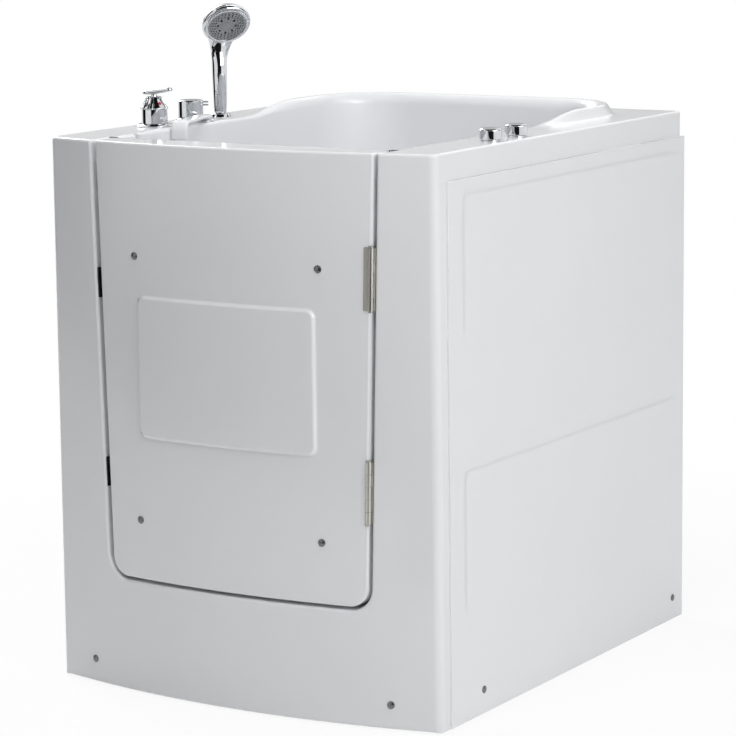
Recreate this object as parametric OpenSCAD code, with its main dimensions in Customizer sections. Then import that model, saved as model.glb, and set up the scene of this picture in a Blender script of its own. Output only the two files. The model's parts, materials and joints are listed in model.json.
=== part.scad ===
// Walk-in bathtub with an outward opening door in a bowed front.
// X runs to the bather's right seen from the front, Y runs to the back, Z is up.
// The origin is on the floor, under the middle of the tub's outline.

/* [Body] */
// Width of the bowed front moulding
body_w = 772; // [740:1:800]
// Depth from the foremost point of the door to the back edge
body_d = 960; // [930:1:1000]
// Height of the deck above the floor
rim_h = 960; // [940:1:985]
// How far the front bows forward at its middle
bow = 49; // [35:1:60]
// Gap between the floor and the lower edges of the panels
skirt_gap = 3; // [2:0.5:6]
// Wall of the moulded acrylic shell
shell_t = 8; // [6:0.5:10]
// Wall of the bowed front moulding and its jambs
skin_t = 7; // [5:0.5:8]
// Radius of the front vertical corners
corner_r = 18; // [12:1:24]
// Depth of the front moulding's side returns
return_d = 50; // [40:1:56]
// Height of the band that the deck turns down at the sides and back
band_h = 46; // [36:1:52]
// Thickness of the deck's turned down band
band_t = 6; // [4:0.5:8]

/* [Well] */
// Width of the deck on each side of the well
side_deck = 98; // [94:1:103]
// Gap between the post fronts' chord and the well
post_d = 108; // [104:1:116]
// Flat deck left behind the well
back_deck = 66; // [58:1:76]
// Height of the footwell floor
floor_h = 110; // [108:1:118]
// Height of the seat
seat_h = 540; // [500:1:580]
// Depth of the seat from its nose to the backrest
seat_d = 350; // [330:1:370]
// How much narrower the footwell floor is than the well
well_taper = 44; // [36:1:52]
// Corner radius of the well's back corners
back_r = 120; // [100:1:130]
// Corner radius of the well's front corners
front_r = 26; // [20:1:34]
// Height of the raised rim round the back of the well
crest_h = 20; // [14:1:26]
// Width of that raised rim
crest_w = 32; // [28:1:38]
// Distance behind the front chord where the raised rim starts to climb
crest_start = 478; // [440:1:520]
// Length over which it climbs
crest_climb = 170; // [140:1:200]

/* [Door] */
// Sideways offset of the door's centre
door_x = 6; // [0:1:8]
// How far the door's edges stay inside the well's sides at the deck
door_inset = 11.3; // [9:0.1:14]
// Height of the door's lower edge
door_sill = 206; // [200:1:216]
// How far each side of the door leans in over its height
door_lean = 19; // [14:1:24]
// Radius of the door's lower corners
door_r = 34; // [28:1:42]
// Gap all round the door
door_gap = 6; // [5:0.5:7]
// Wall of the door's outer casing
door_t = 6; // [4:0.5:7]
// Thickness of the door's flat liner
liner_t = 6; // [4:0.5:8]
// Distance from the front chord back to the liner's rear face
door_back = 28; // [24:1:34]
// Width of the stop flange in the jamb
stop_w = 13; // [12:0.5:15]
// Thickness of the stop flange
stop_t = 6; // [5:0.5:8]
// Thickness of the door's rubber seal
seal_t = 6; // [4:0.5:8]
// Width and height of the raised field on the door
field_w = 350; // [320:1:380]
field_h = 238; // [210:1:260]
// Height of that field's middle above the floor
field_z = 579; // [550:1:610]
// How far the raised fields stand proud
field_proud = 5; // [3:0.5:6]
// Corner radius of the raised fields
field_r = 12; // [8:1:18]

/* [Hinges] */
// Length of each butt hinge
hinge_len = 104; // [90:1:112]
// Heights of the hinges' middles
hinge_z_low = 401; // [380:1:430]
hinge_z_high = 755; // [730:1:780]
// Radius of the hinge knuckles
knuckle_r = 5; // [4:0.1:5.3]
// Radius of the hinge pins
pin_r = 2.5; // [2:0.1:3]
// Number of knuckles in each hinge
knuckles = 5; // [3:2:7]
// Width of the leaf on the door's face
leaf_w = 13.5; // [11:0.5:18]
// Depth of the leaf in the gap
leaf_d = 30; // [24:1:34]
// Thickness of the hinge leaves
leaf_t = 2; // [1.5:0.1:2.5]

/* [Side panels] */
// Thickness of the side panels, which lie on the body's sides
panel_t = 8; // [6:0.5:9]
// How far the side panels' raised fields stand proud of them
side_field_proud = 3; // [2:0.5:4]
// Distance from the front chord to the panels' front edge
panel_start = 31; // [26:1:36]
// Gap between the panels and the deck's band
panel_gap = 2; // [1:0.5:4]
// Distance from the front chord to the raised fields' front edge
side_field_start = 79; // [72:1:90]
// Distance from the raised fields to the panel's rear edge
side_field_end = 33; // [26:1:44]
// Lower and upper edges of the lower field
low_field_z0 = 190; // [180:1:200]
low_field_z1 = 427; // [410:1:440]
// Lower and upper edges of the upper field
high_field_z0 = 651; // [640:1:665]
high_field_z1 = 886; // [870:1:896]

/* [Screw caps] */
// Radius of the chrome screw caps
cap_r = 6.5; // [5:0.5:8]
// How far the caps stand proud
cap_h = 3; // [2:0.5:5]
// Distance from the body's sides to the front moulding's caps
front_cap_in = 83; // [66:1:96]
// Height of the caps along the lower edge
low_cap_z = 45; // [42:1:55]
// Distance from the front chord to the side panels' caps
side_cap_front = 139; // [120:1:160]
side_cap_back = 863; // [840:1:880]
// Sideways place and heights of the door's caps
door_cap_x = 184; // [176:1:200]
door_cap_low = 311; // [290:1:330]
door_cap_high = 768; // [750:1:790]

/* [Frame] */
// Outside width of the square steel tube
tube_w = 30; // [26:1:32]
// Wall of the steel tube
tube_t = 2; // [1.5:0.1:3]
// Height of the base rails' underside
rail_z = 60; // [56:1:62]
// Distance from the body's sides to the long base rails
rail_in = 46; // [40:1:54]
// Thickness of the base board under the footwell
board_t = 12; // [9:1:16]
// Distance from the front chord to the frame's three pairs of uprights
post_y_front = 118; // [112:1:130]
post_y_mid = 536; // [525:1:560]
post_y_back = 862; // [840:1:872]
// Height of the middle rails' underside
mid_rail_z = 500; // [460:1:560]
// Size of the pads that join the uprights to the deck
deck_pad = 50; // [40:1:56]
// Thickness of those pads
deck_pad_t = 5; // [3:0.5:8]

/* [Feet] */
// Radius of the levelling feet
foot_r = 24; // [18:1:30]
// Height of a foot's pad
foot_h = 14; // [10:1:18]
// Radius of the feet's studs
stud_r = 6; // [5:0.5:8]
// Width across the flats of the feet's nuts
nut_af = 19; // [17:1:24]
// Height of the nuts
nut_h = 10; // [8:0.5:13]

/* [Waste] */
// Sideways distance between the two drains
drain_pitch = 150; // [120:1:180]
// Distance from the front chord to the drains
drain_y = 250; // [230:1:280]
// Radius of a drain's flange
drain_flange_r = 35; // [31:1:40]
// Radius of a drain's throat
drain_r = 20; // [18:1:22]
// Outside radius of the waste pipe
waste_r = 21.5; // [20.5:0.5:23]
// Radius and length of the spigot at its outlet
outlet_r = 20; // [19:0.5:20]
outlet_len = 60; // [45:1:80]
// Height of the waste pipe's axis
waste_z = 34; // [31:1:36]
// Radius of the overflow rose
overflow_r = 33; // [28:1:38]
// Depth of the overflow rose below the deck
overflow_drop = 100; // [80:1:130]
// Distance from the front chord to the overflow
overflow_y = 282; // [270:1:300]

/* [Taps] */
// Place of the lever mixer on the deck, from the body's left side and the front chord
mixer_in = 51; // [46:1:56]
mixer_y = 241; // [232:1:250]
// Radius and height of the mixer's flange
mixer_flange_r = 33; // [30:1:35]
tap_flange_h = 5; // [4:0.5:8]
// Radius and height of the mixer's body
mixer_r = 23; // [20:0.5:25]
mixer_h = 31; // [24:1:34]
// Radii and height of the mixer's ribbed hood
hood_r = 25; // [22:0.5:28]
hood_top_r = 14; // [11:0.5:16]
hood_h = 22; // [18:1:26]
// Length, width and thickness of the mixer's lever
lever_len = 52; // [44:1:62]
lever_w = 15; // [12:0.5:18]
lever_t = 5; // [4:0.5:6]
// Rise of the lever at rest, in degrees
lever_rise = 5; // [3:1:6]
// Place of the diverter, measured in the same way
diverter_in = 34; // [31:1:36]
diverter_y = 378; // [372:1:384]
// Radius and height of the diverter's knob
diverter_r = 23; // [20:0.5:24]
diverter_h = 31; // [26:1:38]
// Radius of the diverter's flange
diverter_flange_r = 26; // [24.5:0.5:27]
// Place of the handset's holder
handset_in = 49; // [44:1:54]
handset_y = 452; // [448:1:460]
// Radius of the handset's handle
handle_r = 13; // [11:0.5:14]
// Radius of the handset's head
head_r = 45; // [40:1:48]
// Height of the head's middle above the deck
head_rise = 170; // [150:1:190]
// Radius of the holder's ring
holder_r = 20; // [18:0.5:22]
// Place of the spout's foot
spout_in = 77; // [75:1:80]
spout_y = 362; // [356:1:366]
// Width and thickness of the spout's ribbon
spout_w = 31; // [28:1:32]
spout_t = 7; // [5:0.5:9]

/* [Deck knobs] */
// Distance from the body's right side to the two waste knobs
knob_in = 32; // [28:1:38]
// Distances from the front chord to the two knobs
knob_y_front = 237; // [225:1:245]
knob_y_back = 326; // [315:1:340]
// Radius and height of the knobs
knob_r = 19; // [16:0.5:21]
knob_h = 19; // [15:1:24]

/* [Latch] */
// Height of the latch handle's axis
latch_z = 640; // [610:1:660]
// How far the latch handle's axis stays inside the door's edge at the rim
latch_in = 80.7; // [72:0.1:92]
// Heights of the two latch tongues, from the floor
tongue_z_low = 385; // [370:1:400]
tongue_z_high = 715; // [700:1:730]
// Travel of the latch tongues
latch_travel = 12; // [10:0.5:14]

/* [Fits] */
// Radial clearance of shafts that turn or slide in their bores
shaft_fit = 0.06; // [0.02:0.01:0.1]
// Clearance between faces that slide or close on each other
face_fit = 0.3; // [0.2:0.05:0.5]

/* [Hidden] */
$fn = 48;
bow_fn = 720;

half_w = body_w / 2;
front_y = -body_d / 2;
back_y = body_d / 2;
apex_y = front_y + field_proud;
chord_y = apex_y + bow;
bow_r = (half_w * half_w + bow * bow) / (2 * bow);
bow_cy = apex_y + bow_r;
far = 3 * body_d;
eps = 0.01;

seam_y = chord_y + post_d - shell_t;
well_front = chord_y + post_d;
well_back = back_y - back_deck;
half_well = half_w - side_deck;
half_floor = half_well - well_taper / 2;
seat_nose = well_back - seat_d;
backrest_rake = 38;
toe_rake = 24;
floor_edge = 46;
deck_under = rim_h - shell_t;

door_half = half_well - door_inset;
latch_x = latch_in - door_half;
lean_k = door_lean / (rim_h - door_sill);
lean_a = atan(lean_k);
door_back_y = chord_y + door_back;
liner_front_y = door_back_y - liner_t;
seal_front_y = door_back_y + face_fit;
stop_front_y = seal_front_y + seal_t;

hinge_y = bow_front(door_x + door_half) - knuckle_r + 2.5;
hinge_slope = asin((door_x + door_half) / bow_r);
hinge_zs = [hinge_z_low, hinge_z_high];
knuckle_gap = 0.3;

panel_y0 = chord_y + panel_start;
panel_top = rim_h - band_h - panel_gap;
rail_x = half_w - rail_in;
rail_top = rail_z + tube_w;
front_cap_x = half_w - front_cap_in;
overflow_z = rim_h - overflow_drop;
mixer_x = mixer_in - half_w;
diverter_x = diverter_in - half_w;
handset_x = handset_in - half_w;
spout_x = spout_in - half_w;
knob_x = half_w - knob_in;
post_ys = [chord_y + post_y_front, chord_y + post_y_mid, chord_y + post_y_back];

white = "#e4e6e8";
chrome = "#c8ccd2";
steel = "#9a9ea4";
rubber = "#202022";
zinc = "#aeb2b6";

function bow_front(x) = bow_cy - sqrt(bow_r * bow_r - x * x);
function door_hw(z) = door_half - lean_k * (rim_h - z);
function hinge_x(z) = door_x + door_hw(z);

// Plan of the bowed front, drawn in by inset, from its front to the line y1.
module front_plan(inset, y1) {
    r = corner_r - inset;
    cx = half_w - corner_r;
    cy = bow_cy - sqrt(pow(bow_r - corner_r, 2) - cx * cx);
    tx = cx * (bow_r - inset) / (bow_r - corner_r);
    intersection() {
        translate([0, bow_cy]) circle(r = bow_r - inset, $fn = bow_fn);
        translate([-tx, front_y - 1]) square([2 * tx, y1 - front_y + 1]);
    }
    for (s = [-1, 1]) translate([s * cx, cy]) circle(r = r);
    translate([-half_w + inset, cy]) square([body_w - 2 * inset, y1 - cy]);
}

// Rectangle from (x0, y0) to (x1, y1) with corner radii for its front and back.
module round_plan(x0, x1, y0, y1, rf, rb) {
    for (x = [x0 + rf, x1 - rf]) translate([x, y0 + rf]) circle(r = rf, $fn = 32);
    for (x = [x0 + rb, x1 - rb]) translate([x, y1 - rb]) circle(r = rb, $fn = 32);
    translate([x0, y0 + rf]) square([x1 - x0, y1 - y0 - rf - rb]);
    translate([x0 + rf, y0]) square([x1 - x0 - 2 * rf, rf + 1]);
    translate([x0 + rb, y1 - rb - 1]) square([x1 - x0 - 2 * rb, rb + 1]);
}

// Door outline in x and z, drawn out by grow, from its sill up to the line top.
module door_outline(grow, top) {
    zb = door_sill - grow;
    r = door_r + grow;
    zc = zb + r;
    n = sqrt(1 + lean_k * lean_k);
    hx = door_hw(zc) + grow * n - r * n;
    nx = r / n;
    nz = r * lean_k / n;
    ht = door_hw(top) + grow * n;
    translate([door_x, 0]) {
        for (s = [-1, 1]) translate([s * hx, zc]) circle(r = r);
        polygon([
            [hx + nx, zc - nz], [ht, top], [-ht, top], [-hx - nx, zc - nz],
            [-hx, zc], [-hx, zb], [hx, zb], [hx, zc]
        ]);
    }
}

// Extrudes a drawing in x and z along Y, from y0 to y1.
module along_y(y0, y1) {
    translate([0, y1, 0]) rotate([90, 0, 0]) linear_extrude(y1 - y0) children();
}

// Rounded rectangle centred on the origin.
module round_rect(w, h, r) {
    for (x = [-1, 1], y = [-1, 1])
        translate([x * (w / 2 - r), y * (h / 2 - r)]) circle(r = r);
    square([w - 2 * r, h], center = true);
    square([w, h - 2 * r], center = true);
}

// One thin level of the well, used as a section between its heights.
module level(z, hw, y0, y1, rf, rb) {
    translate([0, 0, z]) linear_extrude(0.1) round_plan(-hw, hw, y0, y1, rf, rb);
}

// Footwell from its floor to above the deck, drawn out by g.
module footwell(g, top) {
    hull() {
        level(top, half_well + g, well_front - g, seat_nose + g, front_r + g, front_r + g);
        level(floor_h + floor_edge - g, half_floor + 3 + g, well_front - g,
            seat_nose - toe_rake + g, front_r + g, front_r + g);
        level(floor_h + 12 - g, half_floor - 10 + g, well_front + 16 - g,
            seat_nose - toe_rake - 12 + g, front_r + g, front_r + g);
        level(floor_h - g, half_floor - 34 + g, well_front + 42 - g,
            seat_nose - toe_rake - 36 + g, front_r + g, front_r + g);
    }
}

// Room above the seat, with a raked backrest, drawn out by g.
module seat_room(g, top) {
    hull() {
        level(top, half_well + g, well_front - g, well_back + g, front_r + g, back_r + g);
        level(seat_h + 130, half_well - 6 + g, seat_nose - toe_rake - g, well_back - backrest_rake / 2 + g,
            front_r + g, back_r + g);
        level(seat_h + 26 - g, half_well - 14 + g, seat_nose - toe_rake - g,
            well_back - backrest_rake + g, front_r + g, back_r - 10 + g);
        level(seat_h - g, half_well - 44 + g, seat_nose - toe_rake - g, well_back - backrest_rake - 30 + g,
            front_r + g, back_r - 30 + g);
    }
}

// Points of one section of the raised rim, at the fraction f of its path.
crest_n = 32;
crest_m = 8;
crest_cr = back_r + 2;
crest_x = half_well + 2;
crest_yb = well_back + 2;
crest_run = crest_yb - crest_cr - (chord_y + crest_start);
crest_arc = crest_cr * PI / 2;
crest_flat = 2 * (crest_x - crest_cr);
crest_len = 2 * crest_run + 2 * crest_arc + crest_flat;
function smooth(t) = t <= 0 ? 0 : t >= 1 ? 1 : t * t * (3 - 2 * t);
function crest_rise(s) = smooth(min(s, crest_len - s) / crest_climb) * crest_h;
// Place and outward direction at the length s along the rim's path, left to right.
function crest_at(s) =
    s > crest_len / 2 ? let (p = crest_at(crest_len - s)) [-p[0], p[1], -p[2], p[3]]
    : s < crest_run ? [-crest_x, chord_y + crest_start + s, -1, 0]
    : s < crest_run + crest_arc ?
        let (a = (s - crest_run) / crest_arc * 90)
        [
            -crest_x + crest_cr - crest_cr * cos(a), crest_yb - crest_cr + crest_cr * sin(a),
            -cos(a), sin(a)
        ]
    : [-crest_x + crest_cr + (s - crest_run - crest_arc), crest_yb, 0, 1];
function crest_ring(s) = let (p = crest_at(s), h = 0.4 + crest_rise(s)) [
    for (j = [0 : crest_m])
        let (a = 180 * j / crest_m, o = crest_w / 2 * (1 - cos(a)))
        [p[0] + p[2] * o, p[1] + p[3] * o, rim_h + h * sin(a)],
    [p[0] + p[2] * crest_w, p[1] + p[3] * crest_w, rim_h - 2],
    [p[0], p[1], rim_h - 2]
];
module crest() {
    k = crest_m + 3;
    pts = [for (i = [0 : crest_n]) each crest_ring(crest_len * i / crest_n)];
    sides = [for (i = [0 : crest_n - 1], j = [0 : k - 1])
        let (a = i * k + j, b = i * k + (j + 1) % k) [a, b, b + k, a + k]];
    first = [for (j = [k - 1 : -1 : 0]) j];
    last = [for (j = [0 : k - 1]) crest_n * k + j];
    polyhedron(points = pts, faces = concat(sides, [first, last]));
}

// Deck outline, with its back corners rounded a little.
module deck_plan(inset) {
    round_plan(-half_w + inset, half_w - inset, seam_y, back_y - inset, 0.5, 14 - inset);
}

module tub_shell() {
    color(white) difference() {
        union() {
            translate([0, 0, deck_under]) linear_extrude(shell_t) deck_plan(0);
            translate([0, 0, rim_h - band_h]) linear_extrude(band_h) difference() {
                deck_plan(0);
                translate([-half_w + band_t, seam_y - 1])
                    square([body_w - 2 * band_t, body_d - band_t - (seam_y - front_y) + 1]);
            }
            footwell(shell_t, rim_h - 0.1);
            seat_room(shell_t, rim_h - 0.1);
            crest();
        }
        footwell(0, rim_h + 0.1);
        seat_room(0, rim_h + 0.1);
        translate([0, 0, rim_h]) linear_extrude(crest_h + 5)
            round_plan(-half_well, half_well, well_front, well_back, front_r, back_r);
        along_y(seam_y - 20, well_front + 60) door_outline(door_gap, rim_h + 40);
        for (s = [-1, 1]) translate([s * drain_pitch / 2, chord_y + drain_y, floor_h - 2 * shell_t])
            cylinder(r = drain_r, h = 4 * shell_t);
        translate([half_floor, chord_y + overflow_y, overflow_z]) rotate([0, 90, 0])
            cylinder(r = overflow_tail_r, h = 80);
        tap_holes();
    }
}

// Holes through the deck for the taps, the handset and the waste knobs.
tap_spots = [
    [mixer_x, mixer_y, 17], [diverter_x, diverter_y, 15], [spout_x, spout_y, 11.5],
    [handset_x, handset_y, 15], [knob_x, knob_y_front, 9], [knob_x, knob_y_back, 9]
];
module tap_holes() {
    for (p = tap_spots) translate([p[0], chord_y + p[1], deck_under - 5])
        cylinder(r = p[2], h = shell_t + 10);
}

module front_moulding() {
    color(white) difference() {
        intersection() {
            translate([0, 0, skirt_gap]) linear_extrude(rim_h - skirt_gap) front_plan(0, seam_y);
            union() {
                translate([0, 0, skirt_gap]) linear_extrude(rim_h - skirt_gap) difference() {
                    front_plan(0, chord_y + return_d);
                    front_plan(skin_t, chord_y + return_d + 1);
                }
                translate([0, 0, deck_under]) linear_extrude(shell_t) front_plan(0, seam_y);
                for (s = [-1, 1]) translate([s * (half_w - band_t / 2), chord_y, rim_h - band_h / 2])
                    translate([-band_t / 2, 0, -band_h / 2]) cube([band_t, seam_y - chord_y, band_h]);
                along_y(front_y, seam_y) door_outline(door_gap + skin_t, rim_h);
            }
        }
        along_y(front_y - 1, stop_front_y) door_outline(door_gap, rim_h + 1);
        along_y(stop_front_y - eps, seam_y + 1) door_outline(door_gap - stop_w, rim_h + 1);
        along_y(stop_front_y + stop_t, seam_y + 1) door_outline(door_gap, rim_h + 1);
        for (z = [tongue_z_low, tongue_z_high]) keeper_block(z, 0);
        for (s = [-1, 1]) on_bow(s * front_cap_x, low_cap_z) screw_hole();
    }
}

// Black keeper let into the latch side of the jamb, drawn out by g.
keeper_h = 52;
keeper_d = 22;
keeper_y = bow_front(door_x - door_half) + 14;
tongue_h = 24;
tongue_t = 8;
module keeper_block(z, g) {
    x = door_x - door_hw(z) - door_gap;
    translate([x - 16 - g, keeper_y - g, z - keeper_h / 2 - g])
        cube([18 + 2 * g, keeper_d + 2 * g, keeper_h + 2 * g]);
}
module latch_keepers() {
    color(rubber) for (z = [tongue_z_low, tongue_z_high]) difference() {
        keeper_block(z, 0);
        translate([door_x - door_hw(z) - door_gap - 12, keeper_y + (keeper_d - tongue_t) / 2 - 1.5,
            z - tongue_h / 2 - 2]) cube([20, tongue_t + 3, tongue_h + 4]);
    }
}

// Places its children on the bowed skin at x and z, with +Y square to the skin.
module on_bow(x, z) {
    translate([x, bow_front(x), z]) rotate([0, 0, asin(x / bow_r)]) children();
}
screw_r = 2;
module screw_hole() { translate([0, -5, 0]) rotate([-90, 0, 0]) cylinder(r = screw_r, h = 30); }

// Flanged screw cap: a low dome on a short shank, standing along -Y.
module screw_cap(shank) {
    rotate([90, 0, 0]) {
        cylinder(r = cap_r, h = 1);
        translate([0, 0, 1]) intersection() {
            translate([0, 0, cap_h - 1 - dome_r]) sphere(r = dome_r);
            cylinder(r = cap_r, h = cap_h - 1);
        }
    }
    rotate([-90, 0, 0]) cylinder(r = screw_r, h = shank);
}
dome_r = (cap_r * cap_r + pow(cap_h - 1, 2)) / (2 * (cap_h - 1));

module front_screw_caps() {
    color(chrome) for (s = [-1, 1]) on_bow(s * front_cap_x, low_cap_z) screw_cap(10);
}

// Side panel on the right, with two raised fields; mirrored for the left.
module side_panel() {
    x = half_w + panel_t;
    fy0 = chord_y + side_field_start;
    fy1 = back_y - side_field_end;
    difference() {
        union() {
            translate([half_w, panel_y0, skirt_gap])
                cube([panel_t - side_field_proud, back_y - panel_y0, panel_top - skirt_gap]);
            for (z = [[low_field_z0, low_field_z1], [high_field_z0, high_field_z1]])
                translate([half_w, (fy0 + fy1) / 2, (z[0] + z[1]) / 2]) rotate([90, 0, 90])
                    linear_extrude(panel_t) round_rect(fy1 - fy0, z[1] - z[0], field_r);
        }
        for (y = [side_cap_front, side_cap_back])
            translate([half_w - 5, chord_y + y, low_cap_z]) rotate([0, 90, 0])
                cylinder(r = screw_r, h = 30);
    }
}
module side_panel_right() { color(white) side_panel(); }
module side_panel_left() { color(white) mirror([1, 0, 0]) side_panel(); }

module side_screw_caps() {
    color(chrome) for (s = [-1, 1], y = [side_cap_front, side_cap_back])
        translate([s * (half_w + panel_t - side_field_proud), chord_y + y, low_cap_z])
            rotate([0, 0, s * 90]) screw_cap(10);
}

// Rubber seal on the jamb's stop flange.
module door_seal() {
    color(rubber) along_y(seal_front_y, stop_front_y) difference() {
        door_outline(-2, rim_h);
        door_outline(door_gap - stop_w + 0.5, rim_h + 1);
    }
}

// Places its children on the leaning hinge axis at the height z.
module at_hinge(z) {
    translate([hinge_x(z), hinge_y, z]) rotate([0, lean_a, 0]) children();
}
knuckle_pitch = hinge_len / knuckles;
module knuckle_set(odd) {
    for (i = [odd : 2 : knuckles - 1])
        translate([0, 0, -hinge_len / 2 + i * knuckle_pitch + knuckle_gap / 2]) children();
}
knuckle_len = knuckle_pitch - knuckle_gap;
module hinge_frame_leaves() {
    plate_x = door_gap - leaf_t;
    color(steel) for (z = hinge_zs) at_hinge(z) difference() {
        union() {
            knuckle_set(1) {
                cylinder(r = knuckle_r, h = knuckle_len);
                translate([0, knuckle_r - leaf_t, 0]) cube([door_gap, leaf_t, knuckle_len]);
            }
            translate([plate_x, knuckle_r - leaf_t, -hinge_len / 2]) cube([leaf_t, leaf_d, hinge_len]);
        }
        cylinder(r = pin_r, h = far, center = true);
    }
}
module hinge_pins() {
    color(chrome) for (z = hinge_zs) at_hinge(z) {
        cylinder(r = pin_r - eps, h = hinge_len + 2.4, center = true);
        for (s = [-1, 1]) translate([0, 0, s * (hinge_len / 2 + 1.2)])
            cylinder(r = knuckle_r - 0.8, h = 2, center = true);
    }
}
// Leaf on the door's face; its plate lies along the bowed skin, let in a little.
leaf_seat = 1;
module door_leaf_plate(g) {
    rotate([0, 0, hinge_slope]) translate([-leaf_w - g, leaf_seat - g, -hinge_len / 2 - g])
        cube([leaf_w + g, leaf_t + 2 * g, hinge_len + 2 * g]);
}
module hinge_door_leaves() {
    color(steel) for (z = hinge_zs) at_hinge(z) difference() {
        union() {
            difference() {
                door_leaf_plate(0);
                knuckle_set(1) translate([0, 0, -knuckle_gap])
                    cylinder(r = knuckle_r + 0.6, h = knuckle_len + 2 * knuckle_gap);
            }
            knuckle_set(0) cylinder(r = knuckle_r, h = knuckle_len);
        }
        cylinder(r = pin_r + shaft_fit, h = far, center = true);
    }
}

// Outer casing of the door: bowed skin, raised field, side walls and top.
module door_casing() {
    color(white) difference() {
        union() {
            intersection() {
                along_y(front_y - 1, liner_front_y) door_outline(0, rim_h);
                difference() {
                    translate([0, bow_cy, 0]) cylinder(r = bow_r, h = rim_h, $fn = bow_fn);
                    translate([0, 0, -1]) linear_extrude(rim_h - door_t + 1) intersection() {
                        translate([0, bow_cy]) circle(r = bow_r - door_t, $fn = bow_fn);
                        translate([-half_w, front_y]) square([body_w, liner_front_y - front_y + 1]);
                    }
                }
            }
            intersection() {
                translate([0, bow_cy, 0]) cylinder(r = bow_r, h = rim_h, $fn = bow_fn);
                along_y(front_y - 1, liner_front_y) difference() {
                    door_outline(0, rim_h);
                    door_outline(-door_t, rim_h - door_t);
                }
            }
            intersection() {
                difference() {
                    translate([0, bow_cy, field_z - field_h])
                        cylinder(r = bow_r + field_proud, h = 2 * field_h, $fn = bow_fn);
                    translate([0, bow_cy, field_z - field_h - 1])
                        cylinder(r = bow_r - 1, h = 2 * field_h + 2, $fn = bow_fn);
                }
                along_y(front_y - 1, chord_y)
                    translate([0, field_z]) round_rect(field_w, field_h, field_r);
            }
        }
        for (z = hinge_zs) at_hinge(z) {
            cylinder(r = knuckle_r + 0.6, h = hinge_len + 6, center = true);
            door_leaf_plate(0.2);
        }
        for (z = [tongue_z_low, tongue_z_high]) tongue_slot(z);
        for (s = [-1, 1], z = [door_cap_low, door_cap_high]) on_bow(s * door_cap_x, z) screw_hole();
    }
}
module tongue_slot(z) {
    y = keeper_y + (keeper_d - tongue_t) / 2 - 0.5;
    translate([door_x - door_hw(z) - 5, y, z - tongue_h / 2 - 0.5])
        cube([40, tongue_t + 1, tongue_h + 1]);
}
module door_liner() {
    color(white) difference() {
        along_y(liner_front_y, door_back_y) door_outline(0, rim_h);
        translate([door_x + latch_x, liner_front_y - 5, latch_z]) rotate([-90, 0, 0])
            cylinder(r = spindle_r + shaft_fit, h = liner_t + 10);
    }
}
module door_screw_caps() {
    color(chrome) for (s = [-1, 1], z = [door_cap_low, door_cap_high])
        on_bow(s * door_cap_x, z) screw_cap(10);
}

// Latch: a lever on the bather's side turns a spindle, which shifts the bar.
spindle_r = 6;
rose_r = 24;
rose_t = 6;
module latch_rose() {
    color(chrome) translate([door_x + latch_x, door_back_y, latch_z]) rotate([-90, 0, 0]) difference() {
        cylinder(r = rose_r, h = rose_t);
        translate([0, 0, -1]) cylinder(r = spindle_r + shaft_fit, h = rose_t + 2);
    }
}
lever_drop = 105;
module latch_handle() {
    color(chrome) translate([door_x + latch_x, 0, latch_z]) {
        translate([0, liner_front_y - 14, 0]) rotate([-90, 0, 0])
            cylinder(r = spindle_r, h = liner_t + 14 + rose_t + 12);
        translate([0, door_back_y + rose_t + 8, 0]) rotate([-90, 0, 0]) {
            translate([0, 0, -6]) cylinder(r = 13, h = 14);
            linear_extrude(8) {
                translate([0, lever_drop]) circle(r = 9);
                polygon([[-11, 0], [11, 0], [9, lever_drop], [-9, lever_drop]]);
            }
        }
        translate([0, liner_front_y - 14, 0]) rotate([-90, 0, 0]) cylinder(r = pinion_r, h = 8);
    }
}
pinion_r = latch_travel / (PI / 2);
bar_w = 22;
bar_t = 5;
module latch_bar() {
    bx = door_x + latch_x - pinion_r - face_fit - bar_w;
    color(steel) {
        translate([bx, liner_front_y - 13, tongue_z_low - 12])
            cube([bar_w, bar_t, tongue_z_high - tongue_z_low + 24]);
        for (z = [tongue_z_low, tongue_z_high]) {
            x0 = door_x - door_hw(z) + 0.5;
            y0 = keeper_y + (keeper_d - tongue_t) / 2;
            translate([x0, y0, z - tongue_h / 2]) cube([bx + bar_w - x0, tongue_t, tongue_h]);
            translate([bx, y0, z - 12]) cube([bar_w, liner_front_y - 13 - y0 + 1, 24]);
        }
        translate([bx + bar_w - 1, liner_front_y - 13, latch_z + pinion_r + face_fit])
            cube([rack_len, bar_t, 9]);
    }
}
rack_len = 30;

// Square tube with its length along Z, centred on X and Y.
module tube(len) {
    linear_extrude(len) difference() {
        square(tube_w, center = true);
        square(tube_w - 2 * tube_t, center = true);
    }
}
rail_y0 = chord_y + 60;
rail_y1 = back_y - 8;
module frame_long_rails() {
    color(zinc) for (s = [-1, 1]) difference() {
        translate([s * rail_x, rail_y0, rail_z + tube_w / 2]) rotate([-90, 0, 0]) tube(rail_y1 - rail_y0);
        foot_bores();
    }
}
cross_len = 2 * (rail_x - tube_w / 2);
module frame_cross_rails() {
    color(zinc) for (y = cross_y)
        translate([-cross_len / 2, y, rail_z + tube_w / 2]) rotate([0, 90, 0]) tube(cross_len);
}
cross_y = [rail_y0 + tube_w / 2, chord_y + post_y_mid, rail_y1 - tube_w / 2];
module frame_uprights() {
    color(zinc) for (s = [-1, 1], y = post_ys)
        translate([s * upright_x, y, rail_top]) tube(deck_under - deck_pad_t - rail_top);
}
upright_x = rail_x + 4;
module deck_pads() {
    color(zinc) for (s = [-1, 1], y = post_ys)
        translate([s * upright_x, y, deck_under - deck_pad_t / 2])
            cube([deck_pad, deck_pad, deck_pad_t], center = true);
}
module frame_mid_rails() {
    color(zinc) for (s = [-1, 1], i = [0, 1])
        translate([s * upright_x, post_ys[i] + tube_w / 2, mid_rail_z]) rotate([-90, 0, 0])
            tube(post_ys[i + 1] - post_ys[i] - tube_w);
}
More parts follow.
